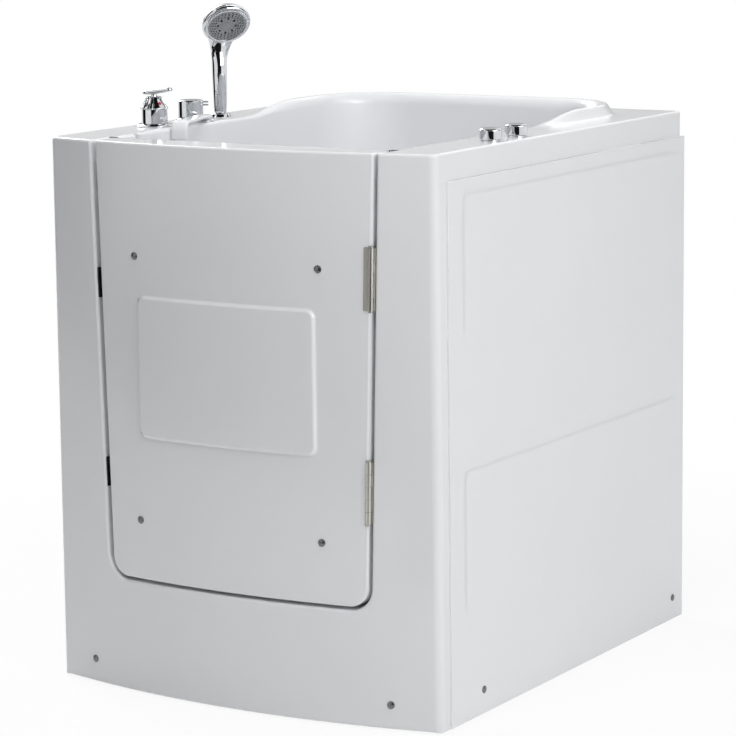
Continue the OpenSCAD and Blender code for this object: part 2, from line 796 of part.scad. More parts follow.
// Bars between the middle rails, under the seat.
bearer_ys = [seat_nose + seat_d * 9 / 35, seat_nose + seat_d * 23 / 35];
module seat_bearers() {
    half = upright_x - tube_w / 2;
    color(zinc) for (y = bearer_ys)
        translate([-half, y, seat_h - shell_t - tube_w / 2]) rotate([0, 90, 0]) tube(2 * half);
}
// Folded brackets that hold the panels' and the front moulding's screws.
bracket_t = 3;
bracket_w = 40;
module panel_brackets() {
    color(zinc) {
        for (s = [-1, 1], y = [side_cap_front, side_cap_back]) scale_x(s)
            translate([0, chord_y + y - bracket_w / 2, 0]) side_bracket();
        intersection() {
            translate([0, 0, 1]) linear_extrude(rim_h) front_plan(skin_t, rail_y0);
            for (s = [-1, 1]) scale_x(s) front_bracket();
        }
    }
}
module scale_x(s) {
    if (s > 0) children();
    else mirror([1, 0, 0]) children();
}
module side_bracket() {
    x0 = rail_x + tube_w / 2;
    difference() {
        union() {
            translate([x0, 0, rail_z + 2]) cube([bracket_t, bracket_w, tube_w - 4]);
            translate([x0, 0, rail_z + 2]) cube([half_w - x0, bracket_w, bracket_t]);
            translate([half_w - bracket_t, 0, low_cap_z - 10])
                cube([bracket_t, bracket_w, rail_z + 2 + bracket_t - low_cap_z + 10]);
        }
        translate([half_w - 10, bracket_w / 2, low_cap_z]) rotate([0, 90, 0]) cylinder(r = screw_r, h = 20);
    }
}
module front_bracket() {
    x0 = front_cap_x - bracket_w / 2;
    difference() {
        union() {
            translate([x0, rail_y0 - bracket_t, rail_z + 2]) cube([bracket_w, bracket_t, tube_w - 4]);
            translate([x0, front_y, rail_z + 2]) cube([bracket_w, rail_y0 - front_y, bracket_t]);
            intersection() {
                translate([x0, front_y, low_cap_z - 10])
                    cube([bracket_w, rail_y0 - front_y, rail_z + 2 + bracket_t - low_cap_z + 10]);
                difference() {
                    linear_extrude(rim_h) front_plan(skin_t, rail_y0);
                    translate([0, 0, -1]) linear_extrude(rim_h)
                        front_plan(skin_t + bracket_t, rail_y0 + 1);
                }
            }
        }
        on_bow(front_cap_x, low_cap_z) screw_hole();
    }
}
board_y1 = seat_nose + 60;
module base_board() {
    color("#b89a6e") difference() {
        translate([-cross_len / 2, rail_y0, rail_top]) cube([cross_len, board_y1 - rail_y0, board_t]);
        for (s = [-1, 1]) translate([s * drain_pitch / 2, chord_y + drain_y, rail_top - 5])
            cylinder(r = drain_r + 8, h = board_t + 10);
        translate([overflow_x0 + 18, chord_y + overflow_y, rail_top - 5])
            cylinder(r = overflow_pipe_r + 1, h = board_t + 10);
    }
}

foot_in = 40;
foot_ys = [rail_y0 + foot_in, (rail_y0 + rail_y1) / 2 + 1, rail_y1 - foot_in - 10];
module each_foot() {
    for (s = [-1, 1], y = foot_ys) translate([s * rail_x, y, 0]) children();
}
module foot_bores() {
    each_foot() translate([0, 0, rail_z - 5]) cylinder(r = stud_r, h = 10);
}
module foot_pads() {
    color(rubber) each_foot() difference() {
        union() {
            cylinder(r = foot_r, h = foot_h - 6);
            translate([0, 0, foot_h - 6]) cylinder(r1 = foot_r, r2 = foot_r - 8, h = 6);
        }
        translate([0, 0, foot_h / 2]) cylinder(r = stud_r, h = foot_h);
    }
}
module foot_studs() {
    color(steel) each_foot() translate([0, 0, foot_h / 2])
        cylinder(r = stud_r, h = rail_z + 14 - foot_h / 2);
}
module foot_nuts() {
    color(steel) each_foot() translate([0, 0, rail_z - nut_h]) difference() {
        cylinder(r = nut_af / 2 / cos(30), h = nut_h, $fn = 6);
        translate([0, 0, -1]) cylinder(r = stud_r, h = nut_h + 2);
    }
}

// Two drains in the footwell, joined by a waste pipe that leaves at the back.
plug_stem_r = 4;
module drain_bodies() {
    z0 = waste_z + waste_r + 4;
    color(chrome) each_drain() difference() {
        union() {
            translate([0, 0, floor_h]) cylinder(r = drain_flange_r, h = 2.5);
            translate([0, 0, z0]) cylinder(r = drain_r, h = floor_h + 1 - z0);
        }
        translate([0, 0, waste_z + waste_r]) cylinder(r = drain_r - 2.5, h = floor_h);
        translate([0, 0, floor_h + 1]) cylinder(r1 = drain_r - 2.5, r2 = drain_r + 5, h = 3);
    }
    color(chrome) each_drain() translate([0, 0, floor_h - 18])
        difference() {
            union() {
                cylinder(r = plug_stem_r + 3, h = 8);
                for (a = [0, 90]) rotate([0, 0, a]) translate([0, 0, 4])
                    cube([2 * drain_r - 4, 3, 8], center = true);
            }
            translate([0, 0, -1]) cylinder(r = plug_stem_r + shaft_fit, h = 10);
        }
}
module each_drain() {
    for (s = [-1, 1]) translate([s * drain_pitch / 2, chord_y + drain_y, 0]) children();
}
waste_y1 = back_y - 2;
waste_x = drain_pitch / 2;
waste_wall = 3;
// The two straight runs of the waste pipe at the radius r, and the spigot.
module waste_runs(r, over) {
    dy = chord_y + drain_y;
    translate([-waste_x, dy, waste_z]) rotate([0, 90, 0]) cylinder(r = r, h = 2 * waste_x);
    translate([waste_x, dy, waste_z]) rotate([-90, 0, 0]) cylinder(r = r, h = waste_y1 - dy - outlet_len);
    translate([waste_x, waste_y1 - outlet_len - 1, waste_z]) rotate([-90, 0, 0])
        cylinder(r = min(r, outlet_r), h = outlet_len + 1 + over);
}
module waste_pipe() {
    color("#8d9095") difference() {
        union() {
            waste_runs(waste_r, 0);
            each_drain() translate([0, 0, waste_z]) {
                sphere(r = waste_r);
                cylinder(r = waste_r + 3, h = waste_r + 14);
            }
        }
        waste_runs(waste_r - waste_wall - 1.5, 1);
        each_drain() translate([0, 0, waste_z]) {
            sphere(r = waste_r - waste_wall - 1.5);
            cylinder(r = drain_r - 2.5, h = waste_r + 15);
            translate([0, 0, waste_r + 4]) cylinder(r = drain_r, h = 20);
        }
    }
}
module drain_plug(s) {
    color(chrome) translate([s * drain_pitch / 2, chord_y + drain_y, floor_h]) {
        translate([0, 0, 3.2]) cylinder(r1 = drain_r + 3, r2 = drain_r - 2, h = 4);
        translate([0, 0, -22]) cylinder(r = plug_stem_r, h = 26);
    }
}
module drain_plug_left() { drain_plug(-1); }
module drain_plug_right() { drain_plug(1); }

function well_half_at(z) = half_floor + 3 + (half_well - half_floor - 3)
    * (z - floor_h - floor_edge) / (rim_h - floor_h - floor_edge);
overflow_x = well_half_at(overflow_z);
overflow_x0 = overflow_x + shell_t + 0.6;
overflow_pipe_r = 12;
overflow_tail_r = 14.5;
module overflow_rose() {
    color(chrome) translate([overflow_x - 1, chord_y + overflow_y, overflow_z]) rotate([0, 90, 0])
        difference() {
            union() {
                translate([0, 0, -7]) cylinder(r1 = overflow_r - 3, r2 = overflow_r, h = 5);
                translate([0, 0, -3]) cylinder(r = overflow_tail_r, h = 24);
            }
            translate([0, 0, -4]) cylinder(r = overflow_tail_r - 2.5, h = 40);
            for (a = [0 : 60 : 300]) rotate([0, 0, a]) translate([8, 0, -10])
                cylinder(r = 2.5, h = 20);
        }
}
module overflow_pipe() {
    y = chord_y + overflow_y;
    color("#8d9095") difference() {
        union() {
            translate([overflow_x0, y, overflow_z]) rotate([0, 90, 0])
                cylinder(r = overflow_tail_r + 2.5, h = 18);
            translate([overflow_x0 + 18, y, 0]) {
                translate([0, 0, overflow_z]) sphere(r = overflow_tail_r + 2.5);
                translate([0, 0, waste_z]) cylinder(r = overflow_pipe_r, h = overflow_z - waste_z);
                translate([0, 0, waste_z]) sphere(r = overflow_pipe_r);
            }
            translate([waste_x, y, waste_z]) rotate([0, 90, 0])
                cylinder(r = overflow_pipe_r, h = overflow_x0 + 18 - waste_x);
        }
        translate([overflow_x0 - 5, y, overflow_z]) rotate([0, 90, 0])
            cylinder(r = overflow_tail_r, h = 18);
        translate([waste_x, y - 30, waste_z]) rotate([-90, 0, 0]) cylinder(r = waste_r, h = 60);
    }
}

// Lever mixer.
module at_tap(x, y) { translate([x, chord_y + y, rim_h]) children(); }
module tap_flange(r, bore) {
    difference() {
        union() {
            cylinder(r = r, h = tap_flange_h - 3);
            translate([0, 0, tap_flange_h - 3]) cylinder(r1 = r, r2 = r - 5, h = 3);
        }
        translate([0, 0, -1]) cylinder(r = bore, h = tap_flange_h + 2);
    }
}
module tap_valve(body_r, shank_r, depth) {
    difference() {
        union() {
            translate([0, 0, -depth]) cylinder(r = body_r, h = depth - shell_t - 14);
            translate([0, 0, -shell_t - 15]) cylinder(r = shank_r, h = shell_t + 15);
        }
        translate([0, 0, -30]) cylinder(r = 4, h = 31);
    }
    difference() {
        translate([0, 0, -shell_t - 10]) cylinder(r = body_r + 3, h = 10, $fn = 6);
        translate([0, 0, -shell_t - 11]) cylinder(r = shank_r - 0.5, h = 12);
    }
}
module mixer_flange() { color(chrome) at_tap(mixer_x, mixer_y) tap_flange(mixer_flange_r, 17); }
module mixer_valve() {
    color("#b89b58") at_tap(mixer_x, mixer_y) tap_valve(mixer_valve_r, 16.5, mixer_valve_depth);
}
module mixer_body() {
    color(chrome) at_tap(mixer_x, mixer_y) difference() {
        translate([0, 0, tap_flange_h]) cylinder(r = mixer_r, h = mixer_h - tap_flange_h);
        translate([0, 0, tap_flange_h + 4]) cylinder(r = 9 + shaft_fit, h = mixer_h);
    }
}
rib_n = 18;
rib_depth = 1.2;
function hood_at(z) = hood_r + (hood_top_r - hood_r) * z / hood_h;
lever_z = mixer_h + face_fit + hood_h + 2.5;
pivot_r = 1.2;
module mixer_hood() {
    color(chrome) at_tap(mixer_x, mixer_y) difference() {
        union() {
            translate([0, 0, mixer_h + face_fit]) {
                cylinder(r1 = hood_r, r2 = hood_top_r, h = hood_h);
                translate([0, 0, -12]) cylinder(r = 9, h = 13);
                translate([0, 0, hood_h - 1]) cylinder(r = 5, h = 5);
            }
            translate([-4, -4.5, mixer_h + hood_h]) cube([8, 9, lever_z + 2 - mixer_h - hood_h]);
        }
        translate([-20, -2.5 - face_fit, lever_z - 4.6]) cube([40, 5 + 2 * face_fit, 20]);
        translate([0, 0, lever_z]) rotate([90, 0, 0]) cylinder(r = pivot_r, h = 30, center = true);
        for (i = [0 : rib_n - 1]) rotate([0, 0, i * 360 / rib_n + 10])
            translate([hood_r + 1.6, 0, mixer_h]) rotate([0, -atan((hood_r - hood_top_r) / hood_h), 0])
                cylinder(r = 1.2 + rib_depth, h = hood_h * 1.3, $fn = 16);
        rotate([0, 0, index_a]) translate([hood_at(10) - 1, 0, mixer_h + 10]) rotate([0, 66, 0])
            translate([0, 0, -3]) cylinder(r = 3, h = 8);
    }
}
index_a = -25;
module mixer_index() {
    color("#c8182c") at_tap(mixer_x, mixer_y) rotate([0, 0, index_a])
        translate([hood_at(10) - 1, 0, mixer_h + 10]) rotate([0, 66, 0]) translate([0, 0, -2.9])
            cylinder(r = 2.9, h = 4);
}
module mixer_lever() {
    color(chrome) at_tap(mixer_x, mixer_y) difference() {
        translate([0, 0, lever_z]) rotate([0, -lever_rise, 0]) {
            translate([-14, 0, 3]) linear_extrude(lever_t) {
                translate([lever_w / 2, 0]) circle(r = lever_w / 2);
                translate([lever_len - lever_w / 2, 0]) circle(r = lever_w / 2);
                translate([lever_w / 2, -lever_w / 2]) square([lever_len - lever_w, lever_w]);
            }
            translate([-3.5, -2.5, -2.5]) cube([7, 5, 6]);
        }
        translate([0, 0, lever_z]) rotate([90, 0, 0])
            cylinder(r = pivot_r + shaft_fit, h = 30, center = true);
    }
}
module mixer_pivot_pin() {
    color(steel) at_tap(mixer_x, mixer_y) translate([0, 0, lever_z]) rotate([90, 0, 0])
        cylinder(r = pivot_r, h = 9, center = true);
}

// Diverter with its cylindrical knob and two small pins.
module at_diverter() { at_tap(diverter_x, diverter_y) children(); }
module diverter_flange() { color(chrome) at_diverter() tap_flange(diverter_flange_r, 16); }
module diverter_valve() { color("#b89b58") at_diverter() tap_valve(diverter_valve_r, 14.5, 62); }
module diverter_knob() {
    color(chrome) at_diverter() {
        translate([0, 0, tap_flange_h + face_fit]) {
            cylinder(r = diverter_r, h = diverter_h - 2);
            translate([0, 0, diverter_h - 2]) cylinder(r1 = diverter_r, r2 = diverter_r - 2, h = 2);
        }
        translate([0, 0, -12]) cylinder(r = 4 - shaft_fit, h = 20);
        for (z = [-4, 1.5]) rotate([0, 0, 25]) translate([diverter_r - 3, 0, diverter_h + z])
            rotate([0, 90, 0]) cylinder(r = 1.6, h = 13, $fn = 24);
    }
}

// Low waterfall spout: a ribbon that widens as it arches over the well's edge.
spout_turn = -74;
spout_reach = 147;
spout_foot_r = 11;
spout_foot_len = 40;
spout_boss_r = 12.5;
spout_top = 13;
spout_fall = 36;
spout_bend = 18;
spout_rear_bend = 12;
module spout_flange() { color(chrome) at_tap(spout_x, spout_y) tap_flange(17, spout_foot_r + eps); }
module spout_side() {
    x0 = -spout_boss_r - 2.5;
    translate([x0 + spout_rear_bend, spout_top - spout_t])
        square([spout_reach - spout_bend - spout_rear_bend - x0, spout_t]);
    translate([x0 + spout_rear_bend, spout_top - spout_rear_bend]) intersection() {
        circle(r = spout_rear_bend);
        translate([-spout_rear_bend, tap_flange_h - spout_top + spout_rear_bend])
            square(spout_rear_bend);
    }
    translate([spout_reach - spout_bend, spout_top - spout_bend]) intersection() {
        difference() {
            circle(r = spout_bend);
            circle(r = spout_bend - spout_t);
        }
        square(spout_bend + 1);
    }
    translate([spout_reach - spout_t, spout_top - spout_fall]) square([spout_t, spout_fall - spout_bend]);
}
module spout_plan() {
    circle(r = spout_boss_r);
    polygon([
        [0, -spout_boss_r + 0.2], [spout_reach + 1, -spout_w / 2],
        [spout_reach + 1, spout_w / 2], [0, spout_boss_r - 0.2]
    ]);
}
module spout() {
    color(white) at_tap(spout_x, spout_y) {
        rotate([0, 0, spout_turn]) intersection() {
            rotate([90, 0, 0]) translate([0, 0, -spout_w]) linear_extrude(2 * spout_w) spout_side();
            translate([0, 0, -spout_fall]) linear_extrude(2 * spout_fall) spout_plan();
        }
        translate([0, 0, -spout_foot_len])
            cylinder(r = spout_foot_r, h = spout_foot_len + spout_top - spout_t + 1);
    }
}

// Hand shower, standing in its holder on the deck.
head_n = [0.590, -0.488, -0.643];
head_off = [31.5, -20];
module handset_holder() {
    color(chrome) at_tap(handset_x, handset_y) difference() {
        union() {
            cylinder(r1 = holder_r, r2 = holder_r - 3, h = 6);
            translate([0, 0, -shell_t - 32]) cylinder(r = holder_tail_r, h = shell_t + 33);
        }
        translate([0, 0, -22]) cylinder(r = foot_shank + shaft_fit, h = 40);
    }
}
foot_shank = 10;
holder_tail_r = 14.5;
// Turns its children so that their +Z points along the spray direction.
module aim_head() {
    at_tap(handset_x + head_off[0], handset_y + head_off[1]) translate([0, 0, head_rise])
        rotate([0, 0, atan2(head_n[1], head_n[0])]) rotate([0, acos(head_n[2]), 0]) children();
}
module handset_body() {
    color(chrome) {
        at_tap(handset_x, handset_y) rotate_extrude() polygon([
            [0, -20], [foot_shank, -20], [foot_shank, 6.3], [11.5, 6.3],
            [handle_r, 46], [handle_r + 1, 96], [0, 96]
        ]);
        hull() {
            at_tap(handset_x, handset_y) translate([0, 0, 92])
                cylinder(r = handle_r - 0.5, h = 1, $fn = 32);
            aim_head() translate([56, 0, -16]) cylinder(r = 11, h = 3, $fn = 32);
        }
        hull() {
            aim_head() translate([55, 0, -15.5]) cylinder(r = 10, h = 2, $fn = 32);
            aim_head() translate([18, 0, -13]) cylinder(r = 24, h = 6, $fn = 32);
        }
        hull() {
            aim_head() translate([0, 0, -22]) cylinder(r = head_r - 14, h = 2, $fn = 32);
            aim_head() translate([0, 0, -9]) cylinder(r = head_r, h = 4, $fn = 32);
        }
        aim_head() translate([0, 0, -8]) cylinder(r = head_stem_r, h = 8 + face_fit);
    }
}
head_stem_r = 6;
module handset_ring() {
    color(chrome) aim_head() {
        difference() {
            union() {
                translate([0, 0, -5 + face_fit]) cylinder(r1 = head_r, r2 = head_r - 3, h = 8);
                rotate([0, 0, -26]) translate([head_r - 4, 0, -4]) cylinder(r = 5, h = 6, $fn = 24);
            }
            cylinder(r = head_r - 7, h = 10);
            translate([0, 0, -6]) cylinder(r = head_stem_r + shaft_fit, h = 20);
        }
    }
}
module handset_face() {
    color("#5d6268") aim_head() {
        translate([0, 0, face_fit]) cylinder(r = head_r - 7.3, h = 3 - face_fit);
        for (ring = [[8, 13], [14, 22], [20, 31]], i = [0 : ring[0] - 1])
            rotate([0, 0, i * 360 / ring[0]]) translate([ring[1], 0, 2]) cylinder(r = 1, h = 2.2);
    }
}

// Supply stubs below the mixer, and the pipes that join the taps under the deck.
tail_r = 7.5;
tail_len = 40;
pipe_wall = 1;
supply_pitch = 22;
supply_drop = 260;
mixer_valve_r = 20;
mixer_valve_depth = 70;
diverter_valve_r = 18;
module supply_pipes() {
    color("#c08456") for (s = [-1, 1])
        at_tap(mixer_x, mixer_y + s * supply_pitch / 2) {
            translate([0, 0, -supply_drop]) cylinder(r = tail_r, h = tail_len + 1);
            translate([0, 0, tail_len - supply_drop])
                cylinder(r = tail_r + pipe_wall, h = supply_drop - tail_len - mixer_valve_depth);
        }
}
link_z = -52;
// How much higher the pipes to the hand shower and the spout run
handset_link_rise = 24;
spout_link_rise = 18;
// Depth and length of the room that the link pipes leave for each tail
tail_room_depth = 80;
tail_room_len = 60;
module tail_room(x, y, r) {
    at_tap(x, y) translate([0, 0, -tail_room_depth]) cylinder(r = r, h = tail_room_len);
}
module link_pipes() {
    color("#c08456") difference() {
        union() {
            pipe_between([mixer_x, mixer_y], [diverter_x, diverter_y], link_z);
            pipe_between([diverter_x, diverter_y], [handset_x, handset_y], link_z + handset_link_rise);
            pipe_between([diverter_x, diverter_y], [spout_x, spout_y], link_z + spout_link_rise);
        }
        tail_room(mixer_x, mixer_y, mixer_valve_r);
        tail_room(diverter_x, diverter_y, diverter_valve_r);
        tail_room(handset_x, handset_y, holder_tail_r);
        tail_room(spout_x, spout_y, spout_foot_r);
    }
}
// Straight pipe between two plan points, at the height z below the deck.
module pipe_between(a, b, z) {
    d = b - a;
    at_tap(a[0], a[1]) translate([0, 0, z]) rotate([0, 0, atan2(d[1], d[0])]) rotate([0, 90, 0])
        cylinder(r = 5, h = sqrt(d[0] * d[0] + d[1] * d[1]));
}

// Waste knobs on the right of the deck, with their bushes.
module knob_bushes() {
    color(chrome) for (y = [knob_y_front, knob_y_back]) at_tap(knob_x, y) difference() {
        union() {
            cylinder(r = knob_r - 1.5, h = 3);
            translate([0, 0, -shell_t - 16]) cylinder(r = 8.5, h = shell_t + 17);
            translate([0, 0, -shell_t - 8]) cylinder(r = 14, h = 8, $fn = 6);
        }
        translate([0, 0, -shell_t - 20]) cylinder(r = 5 + shaft_fit, h = 40);
    }
}
module waste_knob(y) {
    color(chrome) at_tap(knob_x, y) {
        translate([0, 0, 3 + face_fit]) {
            cylinder(r = knob_r, h = knob_h - 3);
            translate([0, 0, knob_h - 3]) cylinder(r1 = knob_r, r2 = knob_r - 2.5, h = 2.5);
        }
        translate([0, 0, -shell_t - 22]) cylinder(r = 5, h = shell_t + 26);
    }
}
module drain_knob_front() { waste_knob(knob_y_front); }
module drain_knob_back() { waste_knob(knob_y_back); }

tub_shell();
front_moulding();
side_panel_left();
side_panel_right();
door_seal();
latch_keepers();
hinge_frame_leaves();
hinge_pins();
front_screw_caps();
side_screw_caps();
frame_long_rails();
frame_cross_rails();
frame_uprights();
frame_mid_rails();
seat_bearers();
panel_brackets();
deck_pads();
base_board();
foot_pads();
foot_studs();
foot_nuts();
drain_bodies();
waste_pipe();
overflow_rose();
overflow_pipe();
mixer_flange();
mixer_body();
mixer_valve();
mixer_hood();
mixer_index();
mixer_lever();
mixer_pivot_pin();
diverter_flange();
diverter_valve();
diverter_knob();
spout_flange();
spout();
handset_holder();
handset_body();
handset_ring();
handset_face();
supply_pipes();
link_pipes();
knob_bushes();
drain_knob_front();
drain_knob_back();
drain_plug_left();
drain_plug_right();
door_casing();
door_liner();
hinge_door_leaves();
door_screw_caps();
latch_rose();
latch_handle();
latch_bar();
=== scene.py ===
# Walk-in bathtub with a door in its bowed front: finishes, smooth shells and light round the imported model.
import json
import math

import bmesh
import bpy
import numpy as np
from mathutils import Matrix, Vector
from mathutils.geometry import delaunay_2d_cdt


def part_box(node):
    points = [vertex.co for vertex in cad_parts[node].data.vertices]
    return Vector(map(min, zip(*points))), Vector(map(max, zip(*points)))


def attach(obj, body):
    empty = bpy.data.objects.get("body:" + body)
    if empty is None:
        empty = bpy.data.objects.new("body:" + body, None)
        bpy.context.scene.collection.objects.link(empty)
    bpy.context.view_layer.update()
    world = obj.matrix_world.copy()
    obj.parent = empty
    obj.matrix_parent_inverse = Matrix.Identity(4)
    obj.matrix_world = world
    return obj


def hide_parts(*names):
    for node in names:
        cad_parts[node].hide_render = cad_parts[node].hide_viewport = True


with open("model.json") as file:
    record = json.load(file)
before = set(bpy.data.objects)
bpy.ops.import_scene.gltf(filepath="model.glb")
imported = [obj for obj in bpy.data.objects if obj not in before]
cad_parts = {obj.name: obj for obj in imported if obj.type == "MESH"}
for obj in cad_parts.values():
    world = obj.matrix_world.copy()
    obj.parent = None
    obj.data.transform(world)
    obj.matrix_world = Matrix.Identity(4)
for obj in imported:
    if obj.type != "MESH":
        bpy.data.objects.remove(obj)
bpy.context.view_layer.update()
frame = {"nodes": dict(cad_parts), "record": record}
print("frame loaded:", len(frame["nodes"]), "nodes")


# small helpers
def hexColour(code):
    # sRGB hex to the linear values that shader sockets take
    parts = [int(code[i:i + 2], 16) / 255 for i in (1, 3, 5)]
    return [v / 12.92 if v <= 0.04045 else ((v + 0.055) / 1.055) ** 2.4 for v in parts] + [1.0]


def addNode(tree, kind, settings=None, inputs=None, links=None):
    # one node with its settings, fixed inputs and links, given as {input: (node, output)}
    node = tree.nodes.new(kind)
    for key, value in (settings or {}).items():
        setattr(node, key, value)
    for key, value in (inputs or {}).items():
        node.inputs[key].default_value = value
    for key, (source, output) in (links or {}).items():
        tree.links.new(source.outputs[output], node.inputs[key])
    return node


def newMaterial(name):
    material = bpy.data.materials.new(name)
    material.use_nodes = True
    tree = material.node_tree
    tree.nodes.clear()
    return material, tree


def setRamp(node, stops):
    # stops are (place, hex colour)
    ramp = node.color_ramp
    for i, (place, code) in enumerate(stops):
        element = ramp.elements[i] if i < 2 else ramp.elements.new(place)
        element.position = place
        element.color = hexColour(code)


def placeObject(name, data):
    item = bpy.data.objects.new(name, data)
    bpy.context.scene.collection.objects.link(item)
    return item


def holderOf(bm, name):
    # an object that carries the finished bmesh
    mesh = bpy.data.meshes.new(name)
    bm.to_mesh(mesh)
    bm.free()
    return placeObject(name, mesh)


def meshOf(holder):
    # the plain mesh that an object's modifiers give; the object itself goes
    mesh = bpy.data.meshes.new_from_object(holder.evaluated_get(bpy.context.evaluated_depsgraph_get()))
    bpy.data.objects.remove(holder)
    return mesh


# materials
finishes = {
    "acrylicWhite": "#F5F6F8",
    "chromeTint": "#D9DBDE",
    "steelTint": "#D8D6CF",
}


def surfaceMaterial(name, colour, shade, roughness, roughSpread=0.0, metallic=0.0, ior=None,
                    patchSize=0.08, bumpSize=0.004, bumpDepth=0.0, stretch=(1, 1, 1),
                    coat=0.0, coatRoughness=0.03, detail=3.0):
    # a moulded, cast, drawn or brushed surface: slow colour patches, uneven gloss and a fine relief
    material, tree = newMaterial(name)
    place = addNode(tree, "ShaderNodeTexCoord")
    stretched = addNode(tree, "ShaderNodeMapping", inputs={"Scale": stretch},
                        links={"Vector": (place, "Object")})
    patches = addNode(tree, "ShaderNodeTexNoise", inputs={"Scale": 1 / patchSize, "Detail": detail},
                      links={"Vector": (stretched, "Vector")})
    tone = addNode(tree, "ShaderNodeValToRGB", links={"Fac": (patches, "Fac")})
    low, high = 0.3, 0.7    # where most of the noise lies
    setRamp(tone, [(low, shade), (high, colour)])
    gloss = addNode(tree, "ShaderNodeMapRange",
                    inputs={"From Min": low, "From Max": high, "To Min": max(0.0, roughness - roughSpread),
                            "To Max": roughness + roughSpread},
                    links={"Value": (patches, "Fac")})
    shader = addNode(tree, "ShaderNodeBsdfPrincipled", inputs={"Metallic": metallic},
                     links={"Base Color": (tone, "Color"), "Roughness": (gloss, "Result")})
    if ior:
        shader.inputs["IOR"].default_value = ior
    if coat:
        shader.inputs["Coat Weight"].default_value = coat
        shader.inputs["Coat Roughness"].default_value = coatRoughness
    if bumpDepth:
        relief = addNode(tree, "ShaderNodeTexNoise", inputs={"Scale": 1 / bumpSize, "Detail": 2.0},
                         links={"Vector": (stretched, "Vector")})
        bump = addNode(tree, "ShaderNodeBump", inputs={"Strength": 1.0, "Distance": bumpDepth},
                       links={"Height": (relief, "Fac")})
        tree.links.new(bump.outputs["Normal"], shader.inputs["Normal"])
    addNode(tree, "ShaderNodeOutputMaterial", links={"Surface": (shader, "BSDF")})
    return material


# cast sheet acrylic, vacuum formed: hard clear gloss over white, with a faint waviness from the mould
sheetAcrylic = surfaceMaterial(
    "sheet_acrylic", finishes["acrylicWhite"], "#F3F4F6", 0.2, 0.02, ior=1.49, patchSize=0.3,
    bumpSize=0.06, bumpDepth=0.00025, coat=0.2, coatRoughness=0.09)
# polished chrome on brass: near mirror, with a trace of water marks in the gloss
platedChrome = surfaceMaterial(
    "chrome_plate", finishes["chromeTint"], "#CDCFD2", 0.05, 0.015, metallic=1.0, patchSize=0.012,
    bumpSize=0.02, bumpDepth=0.00001)
# brushed stainless steel: long fine scratches along the hinge leaves
brushedStainless = surfaceMaterial(
    "brushed_stainless", finishes["steelTint"], "#BFBDB5", 0.36, 0.05, metallic=1.0, patchSize=0.02,
    bumpSize=0.0012, bumpDepth=0.00001, stretch=(1, 1, 0.08))
# nickel plated screw heads and their caps, satin; the colour is set darker than the plating's own, as
# painted shade for the recesses the screws sit in
nickelWithPaintedShade = surfaceMaterial(
    "nickel_plate_painted_shade", "#7E7F7F", "#6C6D6D", 0.3, 0.04, metallic=1.0, patchSize=0.004)
# zinc plated steel tube: dull grey with cloudy spangle
zincPlate = surfaceMaterial(
    "zinc_plate", "#A9ADB1", "#8E9397", 0.42, 0.08, metallic=0.9, patchSize=0.018, bumpSize=0.004,
    bumpDepth=0.00003)
# moulded black rubber: matt, a little dusty
mouldedRubber = surfaceMaterial(
    "moulded_rubber", "#1B1B1C", "#121213", 0.62, 0.08, ior=1.52, patchSize=0.01, bumpSize=0.0015,
    bumpDepth=0.00008)
# injection moulded black plastic: satin, with a fine spark-eroded grain
blackPlastic = surfaceMaterial(
    "moulded_black_plastic", "#17181A", "#101113", 0.38, 0.05, ior=1.49, patchSize=0.012, bumpSize=0.0012,
    bumpDepth=0.00005)
# injection moulded grey plastic: the spray head's nozzle plate
greyPlastic = surfaceMaterial(
    "moulded_grey_plastic", "#9A9DA1", "#8F9296", 0.35, 0.05, ior=1.49, patchSize=0.012, bumpSize=0.0012,
    bumpDepth=0.00003)
# silicone nozzles of the spray head: matt, near black
nozzleRubber = surfaceMaterial(
    "silicone_nozzle", "#16181A", "#101113", 0.5, 0.06, ior=1.43, patchSize=0.006)
# extruded polypropylene waste pipe: off-white, waxy
pipePlastic = surfaceMaterial(
    "extruded_polypropylene", "#E3E3DD", "#D8D8D1", 0.4, 0.06, ior=1.49, patchSize=0.05, bumpSize=0.01,
    bumpDepth=0.00005, stretch=(1, 1, 0.2))
# turned brass valve bodies: cut marks left bright
turnedBrass = surfaceMaterial(
    "turned_brass", "#C8A55C", "#B08D47", 0.28, 0.06, metallic=1.0, patchSize=0.01, bumpSize=0.0015,
    bumpDepth=0.00003, stretch=(1, 1, 6))
# clear red polycarbonate dot that marks the hot side
redPlastic = surfaceMaterial(
    "moulded_red_plastic", "#C2123A", "#A60E30", 0.2, 0.03, ior=1.585, patchSize=0.004)
# birch plywood base board: long pale grain under a sealing coat
birchPlywood = surfaceMaterial(
    "birch_plywood", "#D2B58B", "#B8976A", 0.5, 0.08, ior=1.5, patchSize=0.02, bumpSize=0.004,
    bumpDepth=0.0001, stretch=(0.1, 1, 1), detail=6.0)

slotMaterials = {
    "acrylic": sheetAcrylic, "chrome": platedChrome, "stainless": brushedStainless, "zinc": zincPlate,
    "black_rubber": mouldedRubber, "black_plastic": blackPlastic, "grey_plastic": greyPlastic,
    "pipe_plastic": pipePlastic, "brass": turnedBrass, "red_plastic": redPlastic, "plywood": birchPlywood,
}
print("materials made:", len(slotMaterials))

slotOf = {part["node"]: part["material_slot"] for part in frame["record"]["subparts"]}
screwNodes = ("door_screw_caps", "front_screw_caps", "side_screw_caps")
for nodeName, nodeObject in frame["nodes"].items():
    for materialSlot in nodeObject.material_slots:
        # the screw caps take the darkened nickel, painted shade for their recesses
        if nodeName in screwNodes:
            materialSlot.material = nickelWithPaintedShade
        elif slotOf.get(nodeName) in slotMaterials:
            materialSlot.material = slotMaterials[slotOf[nodeName]]
print("nodes dressed:", len(slotOf))

